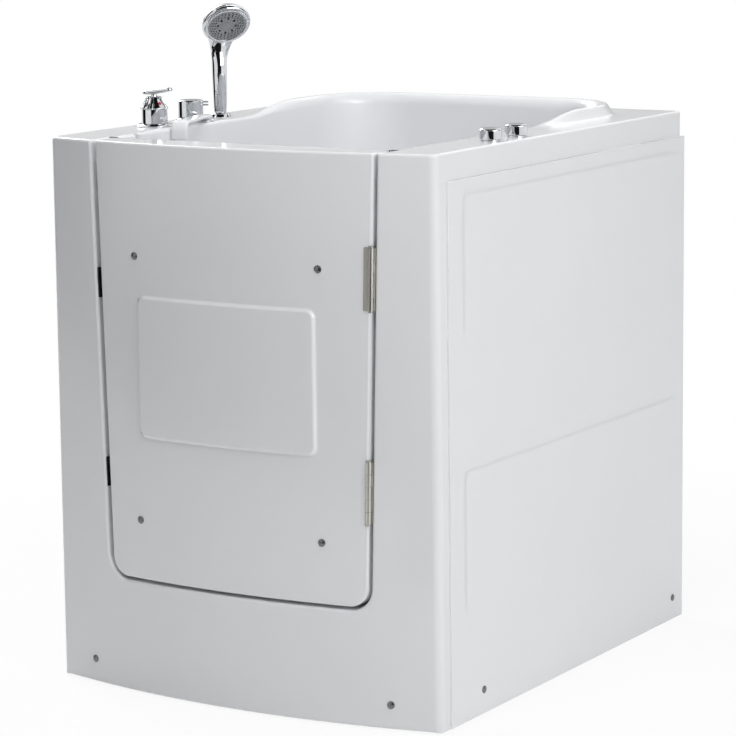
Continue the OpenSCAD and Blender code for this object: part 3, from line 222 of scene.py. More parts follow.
# sizes of the tub's main forms, in metres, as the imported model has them
tub = {
    "halfWidth": 0.386, "rimHeight": 0.960, "back": 0.480, "apex": -0.475, "bow": 0.049, "seam": -0.326,
    "bandHeight": 0.046, "sideFace": 0.391,
}
upright = Vector((0, 0, 1))
bowRadius = (tub["halfWidth"] ** 2 + tub["bow"] ** 2) / (2 * tub["bow"])
bowCentre = tub["apex"] + bowRadius


def bowFront(x):
    return bowCentre - math.sqrt(bowRadius ** 2 - x * x)


def smoothStep(t):
    t = min(1.0, max(0.0, t))
    return t * t * (3 - 2 * t)


def quarterTurn(parts, start=0):
    # (cosine, sine) pairs along a quarter of a circle
    angles = [math.radians(start + 90 * i / parts) for i in range(parts + 1)]
    return [(math.cos(angle), math.sin(angle)) for angle in angles]


def inset(points, distance):
    # moves a closed anticlockwise loop inwards by distance, along its corner bisectors
    count = len(points)
    result = []
    for i in range(count):
        before, here, after = (Vector(points[(i + k) % count]) for k in (-1, 0, 1))
        first, second = (here - before).normalized(), (after - here).normalized()
        normal = Vector((-first.y - second.y, first.x + second.x))
        normal.normalize()
        cosine = max(0.5, normal.dot(Vector((-first.y, first.x))))
        result.append(tuple(here + normal * (distance / cosine)))
    return result


def insideLoop(point, loop):
    u, w = point
    hit = False
    for i in range(len(loop)):
        (u0, w0), (u1, w1) = loop[i - 1], loop[i]
        if (w0 > w) != (w1 > w) and u < (u1 - u0) * (w - w0) / (w1 - w0) + u0:
            hit = not hit
    return hit


def fillDeck(bm, outer, well, height, step):
    # triangles between the deck's edge and the well, each ring given as (points, vertices)
    coords, ready, edges = [], [], []
    for points, vertices in (outer, well):
        start, count = len(coords), len(points)
        coords += points
        ready += vertices
        edges += [(start + i, start + (i + 1) % count) for i in range(count)]
    outline, hole = outer[0], well[0]
    clear = step * 0.45    # the grid keeps off both rings
    shrunk, grownHole = inset(outline, clear), inset(hole, -clear)
    low, high = ([pick(p[k] for p in outline) for k in (0, 1)] for pick in (min, max))
    u = low[0] + step / 2
    while u < high[0]:
        w = low[1] + step / 2
        while w < high[1]:
            if insideLoop((u, w), shrunk) and not insideLoop((u, w), grownHole):
                coords.append((u, w))
                ready.append(None)
            w += step
        u += step
    found = delaunay_2d_cdt([Vector(p) for p in coords], edges, [], 0, 1e-7)
    vertices = []
    for spot, origin in zip(found[0], found[3]):
        known = ready[origin[0]] if origin else None
        vertices.append(bm.verts.new((spot[0], spot[1], height)) if known is None else known)
    for face in found[2]:
        centre = sum((Vector(found[0][i]) for i in face), Vector((0, 0))) / 3
        corners = [vertices[i] for i in face]
        if insideLoop(centre, outline) and not insideLoop(centre, hole) and len(set(corners)) == 3:
            try:
                bm.faces.new(corners)
            except ValueError:
                pass


def bridgeRings(bm, first, second):
    # faces between two closed rings of the same length; a ring that is one point gives triangles
    count = len(first)
    for i in range(count):
        k = (i + 1) % count
        bm.faces.new(tuple(dict.fromkeys((first[i], first[k], second[k], second[i]))))


bodyOf = {node: body for body, nodes in frame["record"]["behaviour"]["bodies"].items() for node in nodes}


def addPiece(name, mesh, nodeName, material=None, slot=None):
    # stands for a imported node, with its body, slot and material, or beside it with a material of its own
    piece = placeObject(name, mesh)
    body, slot = bodyOf[nodeName], slot or slotOf[nodeName]
    replaced = () if material else (nodeName,)
    mesh.materials.clear()
    mesh.materials.append(material or slotMaterials[slot])
    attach(piece, body)
    if replaced:
        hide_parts(*replaced)


def meshFrom(bm, name, sharpAngle=40):
    # faces outwards, shaded smooth between sharp edges, flat faces kept flat by weighted normals
    bmesh.ops.recalc_face_normals(bm, faces=bm.faces)
    holder = holderOf(bm, name + "Raw")
    holder.data.shade_smooth()
    holder.data.set_sharp_from_angle(angle=math.radians(sharpAngle))
    weighted = holder.modifiers.new("weighted", "WEIGHTED_NORMAL")
    weighted.keep_sharp = True
    weighted.weight = 50
    mesh = meshOf(holder)
    mesh.name = name
    return mesh


def mergedCopy(nodeName):
    bm = bmesh.new()
    bm.from_mesh(frame["nodes"][nodeName].data)
    bmesh.ops.remove_doubles(bm, verts=bm.verts, dist=1e-6)
    bmesh.ops.recalc_face_normals(bm, faces=bm.faces)
    bmesh.ops.dissolve_limit(bm, angle_limit=math.radians(0.4), verts=bm.verts, edges=bm.edges)
    return bm


def sharpEdges(bm, test=None, least=40):
    # edges where two faces meet at more than the least angle, of those that pass the test
    return [e for e in bm.edges if len(e.link_faces) == 2 and e.calc_face_angle(0) > math.radians(least)
            and (test is None or test(e.verts[0].co, e.verts[1].co))]


def roundEdges(bm, edges, width, segments):
    bmesh.ops.bevel(bm, geom=edges, offset=width, offset_type="OFFSET", segments=segments, profile=0.5,
                    affect="EDGES", clamp_overlap=False, loop_slide=True)


def softCopy(nodeName, rounds, move=None):
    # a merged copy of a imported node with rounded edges; rounds are (test, width, segments)
    bm = mergedCopy(nodeName)
    if move:
        for vertex in bm.verts:
            vertex.co = move(vertex.co)
    for test, width, segments in rounds:
        roundEdges(bm, sharpEdges(bm, test), width, segments)
    first, *others = nodeName.split("_")
    pieceName = first + "".join(word.title() for word in others)
    addPiece(pieceName, meshFrom(bm, pieceName), nodeName)


# tub shell: one smooth skin from the footwell and seat up over the crest and out across the deck
tubShell = {
    "halfTop": 0.288, "halfDrop": 0.019, "wallDrop": 0.804, "front": -0.318, "back": 0.414,
    "backRake": 0.038, "rakeHeight": 0.394, "rakeCurve": 2.26, "frontRadius": 0.026, "backRadius": 0.120,
    "backTighter": 0.012, "floor": 0.110, "seat": 0.540, "nose": 0.064, "noseRake": 0.024,
    "noseRadius": 0.024, "toeRadius": 0.044, "floorRadius": 0.038, "rim": tub["rimHeight"], "cell": 0.012,
    "cells": (52, 66, 71), "rounds": 30, "crestHeight": 0.0204, "crestStart": 0.052, "crestClimb": 0.170,
    "crestHalf": 0.016, "crestFall": 0.020, "lip": 0.007, "lipGone": 0.008, "deckStep": 0.024,
    "deckGrid": 0.03, "backCorner": 0.014, "edgeRadius": 0.006, "wall": 0.0055,
}
doorway = {"latchSide": 0.2767, "hingeSide": 0.2874, "lean": 0.0252, "sill": 0.200, "corner": 0.040,
           "top": 1.0, "front": -0.345, "rear": -0.290}
drainHoles = {"x": 0.075, "y": -0.176, "radius": 0.0195, "depth": 0.05}


def roundMeet(a, b, radius):
    # inside both a and b, with their meeting line rounded
    corner = np.hypot(np.maximum(a + radius, 0), np.maximum(b + radius, 0))
    return np.minimum(-radius, np.maximum(a, b)) + corner


def roundJoin(a, b, radius):
    # inside a or b, with their meeting line rounded
    return -roundMeet(-a, -b, radius)


def wellPlan(p):
    # distance to the well's outline at each point's height, negative inside
    s = tubShell
    depth = np.clip(s["rim"] - p[:, 2], 0, None)
    half = s["halfTop"] - s["halfDrop"] * depth / s["wallDrop"]
    raked = np.clip(depth / s["rakeHeight"], 0, 1) ** s["rakeCurve"]
    back = s["back"] - s["backRake"] * raked
    middle, reach = (back + s["front"]) / 2, (back - s["front"]) / 2
    radius = np.where(p[:, 1] > middle, s["backRadius"] - s["backTighter"] * raked, s["frontRadius"])
    u = np.abs(p[:, 0]) - half + radius
    v = np.abs(p[:, 1] - middle) - reach + radius
    return np.minimum(np.maximum(u, v), 0) + np.hypot(np.maximum(u, 0), np.maximum(v, 0)) - radius


def wellDepth(p):
    s = tubShell
    riser = s["nose"] - s["noseRake"] * (s["rim"] - p[:, 2]) / s["wallDrop"]
    foot = roundMeet(s["floor"] - p[:, 2], p[:, 1] - riser, s["toeRadius"])
    return roundJoin(s["seat"] - p[:, 2], foot, s["noseRadius"])


def wellSurface(p):
    return roundMeet(wellPlan(p), wellDepth(p), tubShell["floorRadius"])


def slopeOf(field, p, step=1e-5):
    columns = []
    for axis in range(3):
        shift = np.zeros(3)
        shift[axis] = step
        columns.append((field(p + shift) - field(p - shift)) / (2 * step))
    return np.stack(columns, 1)


def settle(p, onRim):
    # moves points along the slope onto the surface; the rim's points stay level
    for _ in range(3):
        slope = slopeOf(wellSurface, p)
        slope[onRim, 2] = 0
        length = np.maximum((slope ** 2).sum(1), 0.05)
        p = p - slope * (wellSurface(p) / length)[:, None]
    return p


def wellSkin():
    # the skin between full and empty cells of a grid, relaxed on the surface
    s = tubShell
    size, count = s["cell"], s["cells"]
    low = np.array([-count[0] / 2 * size, s["front"] - size, s["rim"] - count[2] * size])
    centres = np.stack(np.meshgrid(*[low[a] + size * (np.arange(count[a]) + 0.5) for a in range(3)],
                                   indexing="ij"), -1).reshape(-1, 3)
    full = np.zeros([n + 2 for n in count], bool)
    full[1:-1, 1:-1, 1:-1] = (wellSurface(centres) < 0).reshape(count)
    quads = []
    for axis in range(3):
        for side in (0, 1):
            neighbour = np.roll(full, -1 if side else 1, axis)
            for cell in np.argwhere(full & ~neighbour):
                if axis == 2 and side and cell[2] == count[2]:
                    continue
                corner = cell - 1
                a, b = [k for k in range(3) if k != axis]
                ring = []
                for da, db in ((0, 0), (1, 0), (1, 1), (0, 1)):
                    node = corner.copy()
                    node[axis] += side
                    node[a] += da
                    node[b] += db
                    ring.append(tuple(node))
                quads.append(ring)
    keys = sorted({node for ring in quads for node in ring})
    number = {node: i for i, node in enumerate(keys)}
    faces = np.array([[number[node] for node in ring] for ring in quads])
    points = low + size * np.array(keys, float)
    onRim = np.array([node[2] == count[2] for node in keys])
    links = np.concatenate([faces[:, [k, (k + 1) % 4]] for k in range(4)])
    links = np.unique(np.sort(links, 1), axis=0)
    rimLinks = links[onRim[links].all(1)]
    inner = links[~onRim[links].any(1) | ~onRim[links].all(1)]
    for _ in range(s["rounds"]):
        total, weight = np.zeros_like(points), np.zeros(len(points))
        for pairs, movesRim in ((inner, False), (rimLinks, True)):
            for first, second in ((0, 1), (1, 0)):
                target = pairs[:, first]
                keep = onRim[target] == movesRim
                np.add.at(total, target[keep], points[pairs[keep, second]])
                np.add.at(weight, target[keep], 1)
        weight = np.maximum(weight, 1)
        # most of the way to the middle of the neighbours, then back onto the surface
        points = settle(points * 0.4 + 0.6 * total / weight[:, None], onRim)
        points[onRim, 2] = s["rim"]
    return points, faces, onRim, rimLinks


def crestSection(y):
    # (outward, up) points of the deck's edge at this y: a rounded lip that grows into the crest
    s = tubShell
    rise = s["crestHeight"] * smoothStep((y - s["crestStart"]) / s["crestClimb"])
    lip = 1 - min(1, rise / s["lipGone"])
    room = 0.07 + 0.93 * smoothStep(y / 0.05 + 0.1)    # the fall is short beside the door
    section = [(s["lip"] * (1 - c) * lip + s["crestHalf"] * (1 - c) * (1 - lip),
                rise * d - s["lip"] * (1 - d) * lip) for c, d in quarterTurn(8)]
    last = section[-1][0]
    for i in range(1, 9):
        t = i / 8
        section.append((last + (s["crestHalf"] + s["crestFall"] - last) * t * room,
                        rise * math.cos(math.pi / 2 * t) ** 2))
    return section


def rimOrder(rimLinks, points):
    # the rim's points one after another, anticlockwise
    around = {}
    for a, b in rimLinks:
        around.setdefault(int(a), []).append(int(b))
        around.setdefault(int(b), []).append(int(a))
    start = int(rimLinks[0][0])
    order = [start, around[start][0]]
    while True:
        following = [k for k in around[order[-1]] if k != order[-2]][0]
        if following == start:
            break
        order.append(following)
    area = sum(points[order[i - 1]][0] * points[k][1] - points[k][0] * points[order[i - 1]][1]
               for i, k in enumerate(order))
    return order if area > 0 else order[::-1]


def deckOutline(step):
    # anticlockwise outline of the deck, with each point's outward direction
    half, back, seam, corner = tub["halfWidth"], tub["back"], tub["seam"], tubShell["backCorner"]
    points = []

    def run(a, b, direction):
        parts = max(1, math.ceil(math.dist(a, b) / step))
        points.extend(((a[0] + (b[0] - a[0]) * k / parts, a[1] + (b[1] - a[1]) * k / parts), direction)
                      for k in range(parts))

    def turnCorner(middle, start):
        points.extend(((middle + corner * c, back - corner + corner * d), (c, d))
                      for c, d in quarterTurn(8, start)[:-1])
    run((-half, seam), (half, seam), (0, 0))
    run((half, seam), (half, back - corner), (1, 0))
    turnCorner(half - corner, 0)
    run((half - corner, back), (corner - half, back), (0, 1))
    turnCorner(corner - half, 90)
    run((-half, back - corner), (-half, seam), (-1, 0))
    return points


def doorCutter():
    # prism of the doorway with its gap, and the two drain holes
    bm = bmesh.new()
    sill, radius = doorway["sill"], doorway["corner"]
    outline = [(doorway["hingeSide"], doorway["top"]), (-doorway["latchSide"], doorway["top"])]
    for side, reach in ((-1, doorway["latchSide"]), (1, doorway["hingeSide"])):
        edge = side * (reach - doorway["lean"] * (tub["rimHeight"] - sill))
        arc = [(edge - side * radius + side * radius * c, sill + radius - radius * d)
               for c, d in quarterTurn(8)]
        outline += arc if side < 0 else arc[::-1]
    rings = [[bm.verts.new((x, doorway[k], z)) for x, z in outline] for k in ("front", "rear")]
    bridgeRings(bm, rings[0], rings[1])
    bm.faces.new(rings[0])
    bm.faces.new(rings[1][::-1])
    radius = drainHoles["radius"]
    for side in (-1, 1):
        spot = (side * drainHoles["x"], drainHoles["y"], tubShell["floor"])
        bmesh.ops.create_cone(bm, cap_ends=True, segments=32, radius1=radius, radius2=radius,
                              depth=drainHoles["depth"], matrix=Matrix.Translation(spot))
    bmesh.ops.recalc_face_normals(bm, faces=bm.faces)
    return holderOf(bm, "doorCutter")


def makeTubShell():
    s = tubShell
    points, faces, onRim, rimLinks = wellSkin()
    order = rimOrder(rimLinks, points)
    outward = slopeOf(wellPlan, points[order])
    bm = bmesh.new()
    for k in order:
        points[k][2] = s["rim"] + crestSection(points[k][1])[0][1]
    vertices = [bm.verts.new(p) for p in points]
    for face in faces:
        bm.faces.new([vertices[k] for k in face])
    sections = [crestSection(points[k][1]) for k in order]
    ring = [vertices[k] for k in order]
    for step in range(1, len(sections[0])):
        following = []
        for i, k in enumerate(order):
            n = Vector((outward[i][0], outward[i][1])).normalized()
            out, up = sections[i][step]
            spot = (points[k][0] + n.x * out, points[k][1] + n.y * out, s["rim"] + up)
            following.append(bm.verts.new(spot))
        bridgeRings(bm, ring, following)
        ring = following
    outline = deckOutline(s["deckStep"])
    edge, half = s["edgeRadius"], tub["halfWidth"]
    inner = []
    for (x, y), (nx, ny) in outline:
        atSeam = y < tub["seam"] + 1e-6 and abs(x) > half - 1e-6
        inner.append((math.copysign(half - edge, x), y) if atSeam else (x - nx * edge, y - ny * edge))
    previous = [bm.verts.new((x, y, s["rim"])) for x, y in inner]
    fillDeck(bm, (inner, previous), ([(v.co.x, v.co.y) for v in ring], ring), s["rim"], s["deckGrid"])
    drops = [(edge * (1 - c), edge * d) for c, d in quarterTurn(5)[1:]]
    for down, out in drops + [(tub["bandHeight"], edge)]:
        share = out / edge
        following = [bm.verts.new((ix + (x - ix) * share, iy + (y - iy) * share, s["rim"] - down))
                     for ((x, y), _), (ix, iy) in zip(outline, inner)]
        bridgeRings(bm, previous, following)
        previous = following
    bmesh.ops.remove_doubles(bm, verts=bm.verts, dist=1e-6)
    bmesh.ops.recalc_face_normals(bm, faces=bm.faces)
    top = max(bm.faces, key=lambda f: f.calc_center_median().z)
    if top.normal.z < 0:
        bmesh.ops.reverse_faces(bm, faces=bm.faces)
    holder, cutter = holderOf(bm, "tubSkin"), doorCutter()
    wall = holder.modifiers.new("wall", "SOLIDIFY")
    wall.thickness = s["wall"]
    wall.offset = -1
    cut = holder.modifiers.new("doorway", "BOOLEAN")
    cut.operation = "DIFFERENCE"
    cut.solver = "MANIFOLD"
    cut.object = cutter
    mesh = meshOf(holder)
    bpy.data.objects.remove(cutter)
    bm = bmesh.new()
    bm.from_mesh(mesh)
    return bm


tubMesh = meshFrom(makeTubShell(), "tubShell", 35)
addPiece("tubShell", tubMesh, "tub_shell")
print("tub shell:", len(tubMesh.polygons), "faces")

# bowed front, door and side panels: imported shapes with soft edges
shells = {
    "flare": 0.004, "flareFrom": 0.280, "flareOver": 0.09, "flareFront": 0.425, "flareDeep": 0.028,
    "bowEnd": 0.368, "postEdge": 0.006, "doorEdge": 0.0045, "doorFieldEdge": 0.0026, "sideEdge": 0.002,
    "sideFieldEdge": 0.0019, "fieldSpread": 0.004, "doorFieldSpread": 0.003, "panelTop": 0.912,
    "panelRaise": 0.0018, "jambShift": 0.0045, "jambReach": 0.0045, "jambOver": 0.060, "jambRear": -0.391,
}
# how near counts as on the bow, on a field's outline, within its edge, or on a side's face
nearBow, nearOutline, doorFieldBand, sideFieldBand, nearSide = 0.0004, 0.0003, 0.004, 0.005, 0.0005
door = {"gap": 0.006, "latchSide": 0.2767, "lean": 0.019, "height": 0.754, "sill": 0.200, "corner": 0.040,
        "cornerTop": 0.240}
doorField = {"x": 0.0, "z": 0.579, "width": 0.350, "height": 0.238, "radius": 0.012, "proud": 0.005}
sideFields = [{"y": 0.050, "z": 0.3085, "width": 0.794, "height": 0.237, "radius": 0.012},
              {"y": 0.050, "z": 0.7685, "width": 0.794, "height": 0.235, "radius": 0.012}]
hinges = {"heights": (0.401, 0.755), "halfLength": 0.062, "inner": 0.255}
caps = {
    "front": [(side * x, z) for x, z in ((0.184, 0.311), (0.184, 0.768), (0.303, 0.045))
              for side in (-1, 1)],
    "side": [(-0.287, 0.045), (0.437, 0.045)], "frontReach": 0.012, "sideReach": 0.008,
}


def doorEdgeAt(z):
    # the door's latch-side edge, which leans in towards the floor
    return door["gap"] - door["latchSide"] + door["lean"] * (tub["rimHeight"] - z) / door["height"]


def jambAt(z):
    # the latch-side wall of the opening, with its round lower corner
    wall, corner = doorEdgeAt(z) - door["gap"], door["corner"]
    if z >= door["cornerTop"]:
        return wall
    return wall + corner - math.sqrt(max(0, corner ** 2 - (door["cornerTop"] - z) ** 2))


def onBow(co, proud=0.0):
    return abs(math.hypot(co.x, co.y - bowCentre) - bowRadius - proud) < nearBow


def flared(co):
    # the front's corners spread a little towards the floor, and the gap on the latch side is widened
    s = shells
    share = smoothStep((abs(co.x) - s["flareFrom"]) / s["flareOver"]) \
        * (1 - smoothStep((co.y + s["flareFront"]) / s["flareDeep"]))
    spread = math.copysign(share * s["flare"] * (1 - co.z / tub["rimHeight"]), co.x)
    bowEnd = max(-s["bowEnd"], min(s["bowEnd"], co.x))
    x, y = co.x + spread, co.y + bowFront(bowEnd + spread) - bowFront(bowEnd)
    if co.y < s["jambRear"] and abs(co.x - jambAt(co.z)) < s["jambReach"]:
        moved = s["jambShift"] * smoothStep((co.z - door["sill"]) / s["jambOver"])
        if onBow(co):
            y = bowFront(x - moved)
        x -= moved
    return Vector((x, y, co.z))


def nearCaps(u, w, face):
    return any(math.dist((u, w), spot) < caps[face + "Reach"] for spot in caps[face])


def fieldOffset(u, w, field, centreKey):
    # signed distance from a field's outline and its direction there
    u, w, radius = u - field[centreKey], w - field["z"], field["radius"]
    du, dw = abs(u) - (field["width"] / 2 - radius), abs(w) - (field["height"] / 2 - radius)
    if du > 0 and dw > 0:
        length = math.hypot(du, dw)
        return length - radius, (math.copysign(du / length, u), math.copysign(dw / length, w))
    if du > dw:
        return du - radius, (math.copysign(1, u), 0)
    return dw - radius, (0, math.copysign(1, w))


def atRim(a, b):
    return min(a.z, b.z) > tub["rimHeight"] - 0.0001


def frontEdges(a, b):
    onFace = onBow(a) and onBow(b) and not nearCaps(a.x, a.z, "front")
    return onFace or atRim(a, b) and min(a.y, b.y) < tub["seam"] - 0.0005


softCopy("front_moulding", [(frontEdges, shells["postEdge"], 5)], flared)


def spreadDoorField(co):
    distance, (du, dw) = fieldOffset(co.x, co.z, doorField, "x")
    if abs(distance) < nearOutline and onBow(co):
        x = co.x + du * shells["doorFieldSpread"]
        return Vector((x, bowFront(x), co.z + dw * shells["doorFieldSpread"]))
    return co


def doorFieldEdges(a, b):
    inField = all(abs(fieldOffset(co.x, co.z, doorField, "x")[0]) < doorFieldBand for co in (a, b))
    return inField and any(onBow(a, proud) and onBow(b, proud) for proud in (0.0, doorField["proud"]))


def doorEdges(a, b):
    atHinge = any(abs(a.z - z) < hinges["halfLength"] and a.x > hinges["inner"] for z in hinges["heights"])
    if atHinge or nearCaps(a.x, a.z, "front") or doorFieldEdges(a, b):
        return False
    return onBow(a) and onBow(b) or atRim(a, b)


softCopy("door_casing", [(doorEdges, shells["doorEdge"], 5), (doorFieldEdges, shells["doorFieldEdge"], 4)],
         spreadDoorField)


def spreadSideFields(co):
    if co.z > shells["panelTop"] - 1e-4:
        return Vector((co.x, co.y, co.z + shells["panelRaise"]))
    for field in sideFields:
        distance, (du, dw) = fieldOffset(co.y, co.z, field, "y")
        if abs(distance) < nearOutline and abs(abs(co.x) - tub["sideFace"]) < nearSide:
            return Vector((co.x, co.y + du * shells["fieldSpread"], co.z + dw * shells["fieldSpread"]))
    return co


def sideFieldEdges(a, b):
    inField = any(all(abs(fieldOffset(co.y, co.z, field, "y")[0]) < sideFieldBand for co in (a, b))
                  for field in sideFields)
    return inField and abs(a.x - b.x) < 0.0001 and abs(a.x) > tub["sideFace"] - nearSide


def sideEdges(a, b):
    onFace = all(abs(abs(co.x) - tub["sideFace"]) < nearSide for co in (a, b))
    return onFace and not nearCaps(a.y, a.z, "side") and not sideFieldEdges(a, b)


for side in ("left", "right"):
    softCopy("side_panel_" + side, [(sideEdges, shells["sideEdge"], 3),
                                    (sideFieldEdges, shells["sideFieldEdge"], 4)], spreadSideFields)
print("shells softened")


# turned and pressed metal parts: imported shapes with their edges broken
metalEdges = {
    "mixer_flange": 0.0008, "diverter_flange": 0.0008, "spout_flange": 0.0008, "handset_holder": 0.0008,
    "mixer_body": 0.0006, "diverter_knob": 0.0006, "knob_bushes": 0.0006,
    "drain_knob_front": 0.0010, "drain_knob_back": 0.0010, "overflow_rose": 0.0006, "drain_bodies": 0.0006,
    "drain_plug_left": 0.0006, "drain_plug_right": 0.0006, "latch_rose": 0.0008, "latch_handle": 0.0010,
    "hinge_door_leaves": 0.0006, "hinge_frame_leaves": 0.0006, "hinge_pins": 0.0004,
}
for metalNode, width in metalEdges.items():
    softCopy(metalNode, [(None, width, 3)])
print("metal parts softened:", len(metalEdges))


# hand shower: handle, funnel neck and domed head melted into one casting
handShower = {
    "foot": (-0.337, 0.026, 0.960), "headCentre": (-0.3055, 0.006, 1.130),
    "faces": (0.590, -0.488, -0.643), "voxel": 0.0013, "smoothing": 8,
    # (radius, height) up the handle, and down the head from its dome to its rim
    "handle": [(0.0098, -0.019), (0.0098, 0.0068), (0.0116, 0.0070), (0.0122, 0.020), (0.0131, 0.050),
               (0.0140, 0.080), (0.0140, 0.096), (0.0130, 0.100)],
    "head": [(0.004, -0.0262), (0.018, -0.0256), (0.029, -0.0230), (0.0360, -0.0192), (0.0400, -0.0148),
             (0.0435, -0.0095), (0.0445, -0.0062), (0.0435, -0.0052)],
    # centre, half width and half thickness up the neck
    "neck": [((-0.3370, 0.0260, 1.0480), 0.0140, 0.0140), ((-0.3370, 0.0260, 1.0600), 0.0142, 0.0138),
             ((-0.3368, 0.0260, 1.0700), 0.0150, 0.0128), ((-0.3358, 0.0262, 1.0805), 0.0170, 0.0118),
             ((-0.3342, 0.0264, 1.0920), 0.0205, 0.0108), ((-0.3318, 0.0264, 1.1030), 0.0250, 0.0098)],
    # how far below the head's centre, and half width, where the neck runs into the head
    "neckEnd": [(0.024, 0.0310), (0.010, 0.0360), (-0.006, 0.0380)], "neckBehind": 0.0125,
    "neckThick": 0.0088,
}
sprayWay = Vector(handShower["faces"]).normalized()
sprayAcross = Vector((-sprayWay.y, sprayWay.x, 0)).normalized() * -1
sprayDown = sprayAcross.cross(sprayWay).normalized()
if sprayDown.z > 0:
    sprayDown = -sprayDown
headCentre = Vector(handShower["headCentre"])


def loftRings(bm, rings):
    # closed skin through rings of the same count, capped at both ends
    made = [[bm.verts.new(p) for p in ring] for ring in rings]
    for first, second in zip(made, made[1:]):
        bridgeRings(bm, first, second)
    for ring in (made[0], made[-1]):
        bm.faces.new(ring)


def ovalRing(centre, across, along, halfAcross, halfAlong, count=48, power=1.0):
    # an ellipse; a power below one draws it towards a rectangle
    points = []
    for i in range(count):
        c, s = math.cos(2 * math.pi * i / count), math.sin(2 * math.pi * i / count)
        points.append(centre + across * (halfAcross * math.copysign(abs(c) ** power, c))
                      + along * (halfAlong * math.copysign(abs(s) ** power, s)))
    return points


def turnedRings(centre, axis, profile, count=64):
    # rings round an axis from (radius, height) pairs
    side = axis.orthogonal().normalized()
    other = axis.cross(side)
    return [ovalRing(centre + axis * height, side, other, radius, radius, count)
            for radius, height in profile]


def meltedMesh(bm, name, voxel, smoothing):
    # overlapping closed skins joined by a voxel remesh, then smoothed
    bmesh.ops.recalc_face_normals(bm, faces=bm.faces)
    holder = holderOf(bm, name + "Raw")
    melt = holder.modifiers.new("melt", "REMESH")
    melt.mode = "VOXEL"
    melt.voxel_size = voxel
    melt.use_smooth_shade = True
    relax = holder.modifiers.new("relax", "SMOOTH")
    relax.factor = 0.5
    relax.iterations = smoothing
    mesh = meshOf(holder)
    mesh.name = name
    return mesh


bm = bmesh.new()
loftRings(bm, turnedRings(Vector(handShower["foot"]), upright, handShower["handle"]))
path = [(Vector(centre), across, thick) for centre, across, thick in handShower["neck"]]
path += [(headCentre + sprayDown * down - sprayWay * handShower["neckBehind"], across,
          handShower["neckThick"]) for down, across in handShower["neckEnd"]]
rings = []
for i, (centre, across, thick) in enumerate(path):
    before, after = path[max(0, i - 1)][0], path[min(len(path) - 1, i + 1)][0]
    along = (after - before).normalized()
    rings.append(ovalRing(centre, sprayAcross, along.cross(sprayAcross).normalized(), across, thick))
loftRings(bm, rings)
loftRings(bm, turnedRings(headCentre, sprayWay, handShower["head"]))
showerMesh = meltedMesh(bm, "handShowerBody", handShower["voxel"], handShower["smoothing"])
addPiece("handShowerBody", showerMesh, "handset_body")
print("hand shower:", len(showerMesh.polygons), "faces")


# its turning spray ring with the thumb nub, and the nozzle plate inside
sprayHead = {
    # (radius, height) down the section of the ring, of its nub and of the plate
    "bezel": [(0.0062, -0.0046), (0.0062, -0.0002), (0.0352, -0.0002), (0.0352, 0.0024), (0.0356, 0.0030),
              (0.0376, 0.0033), (0.0405, 0.0030), (0.0428, 0.0020), (0.0442, 0.0005), (0.0449, -0.0015),
              (0.0449, -0.0036), (0.0444, -0.0044), (0.0434, -0.0046)],
    "nub": [(0.0, 0.0), (0.0044, 0.0), (0.0044, 0.0060), (0.0038, 0.0070), (0.0024, 0.0075), (0.0, 0.0077)],
    "nubReach": 0.0405, "nubTurn": -26, "nubFoot": -0.0040,
    "plate": [(0.0, 0.0004), (0.0347, 0.0004), (0.0347, 0.0020), (0.0343, 0.0024), (0.0318, 0.0024),
              (0.0312, 0.0020), (0.0110, 0.0017), (0.0104, 0.0024), (0.0, 0.0028)],
    # nozzles in the ring, its radius, a nozzle's radius
    "rings": [(8, 0.0168, 0.0021), (20, 0.0220, 0.0009), (24, 0.0261, 0.0009), (28, 0.0302, 0.0009)],
    "nozzleFoot": 0.0022, "nozzleHeight": 0.0016,
}


def turned(bm, centre, axis, profile, closed, count=72):
    # lathe of a closed or an open profile; a radius of nought makes a pole
    rings = []
    for (radius, height), points in zip(profile, turnedRings(centre, axis, profile, count)):
        pole = radius < 1e-6
        rings.append([bm.verts.new(points[0])] * count if pole else [bm.verts.new(p) for p in points])
    if closed:
        rings.append(rings[0])
    for first, second in zip(rings, rings[1:]):
        bridgeRings(bm, first, second)


bm = bmesh.new()
turned(bm, headCentre, sprayWay, sprayHead["bezel"], True)
nubTurn, nubReach = math.radians(sprayHead["nubTurn"]), sprayHead["nubReach"]
nubFoot = headCentre + sprayDown * (nubReach * math.cos(nubTurn)) \
    + sprayWay.cross(sprayDown) * (nubReach * math.sin(nubTurn)) + sprayWay * sprayHead["nubFoot"]
turned(bm, nubFoot, sprayWay, sprayHead["nub"], False, 24)
addPiece("sprayRing", meshFrom(bm, "sprayRing", 50), "handset_ring")


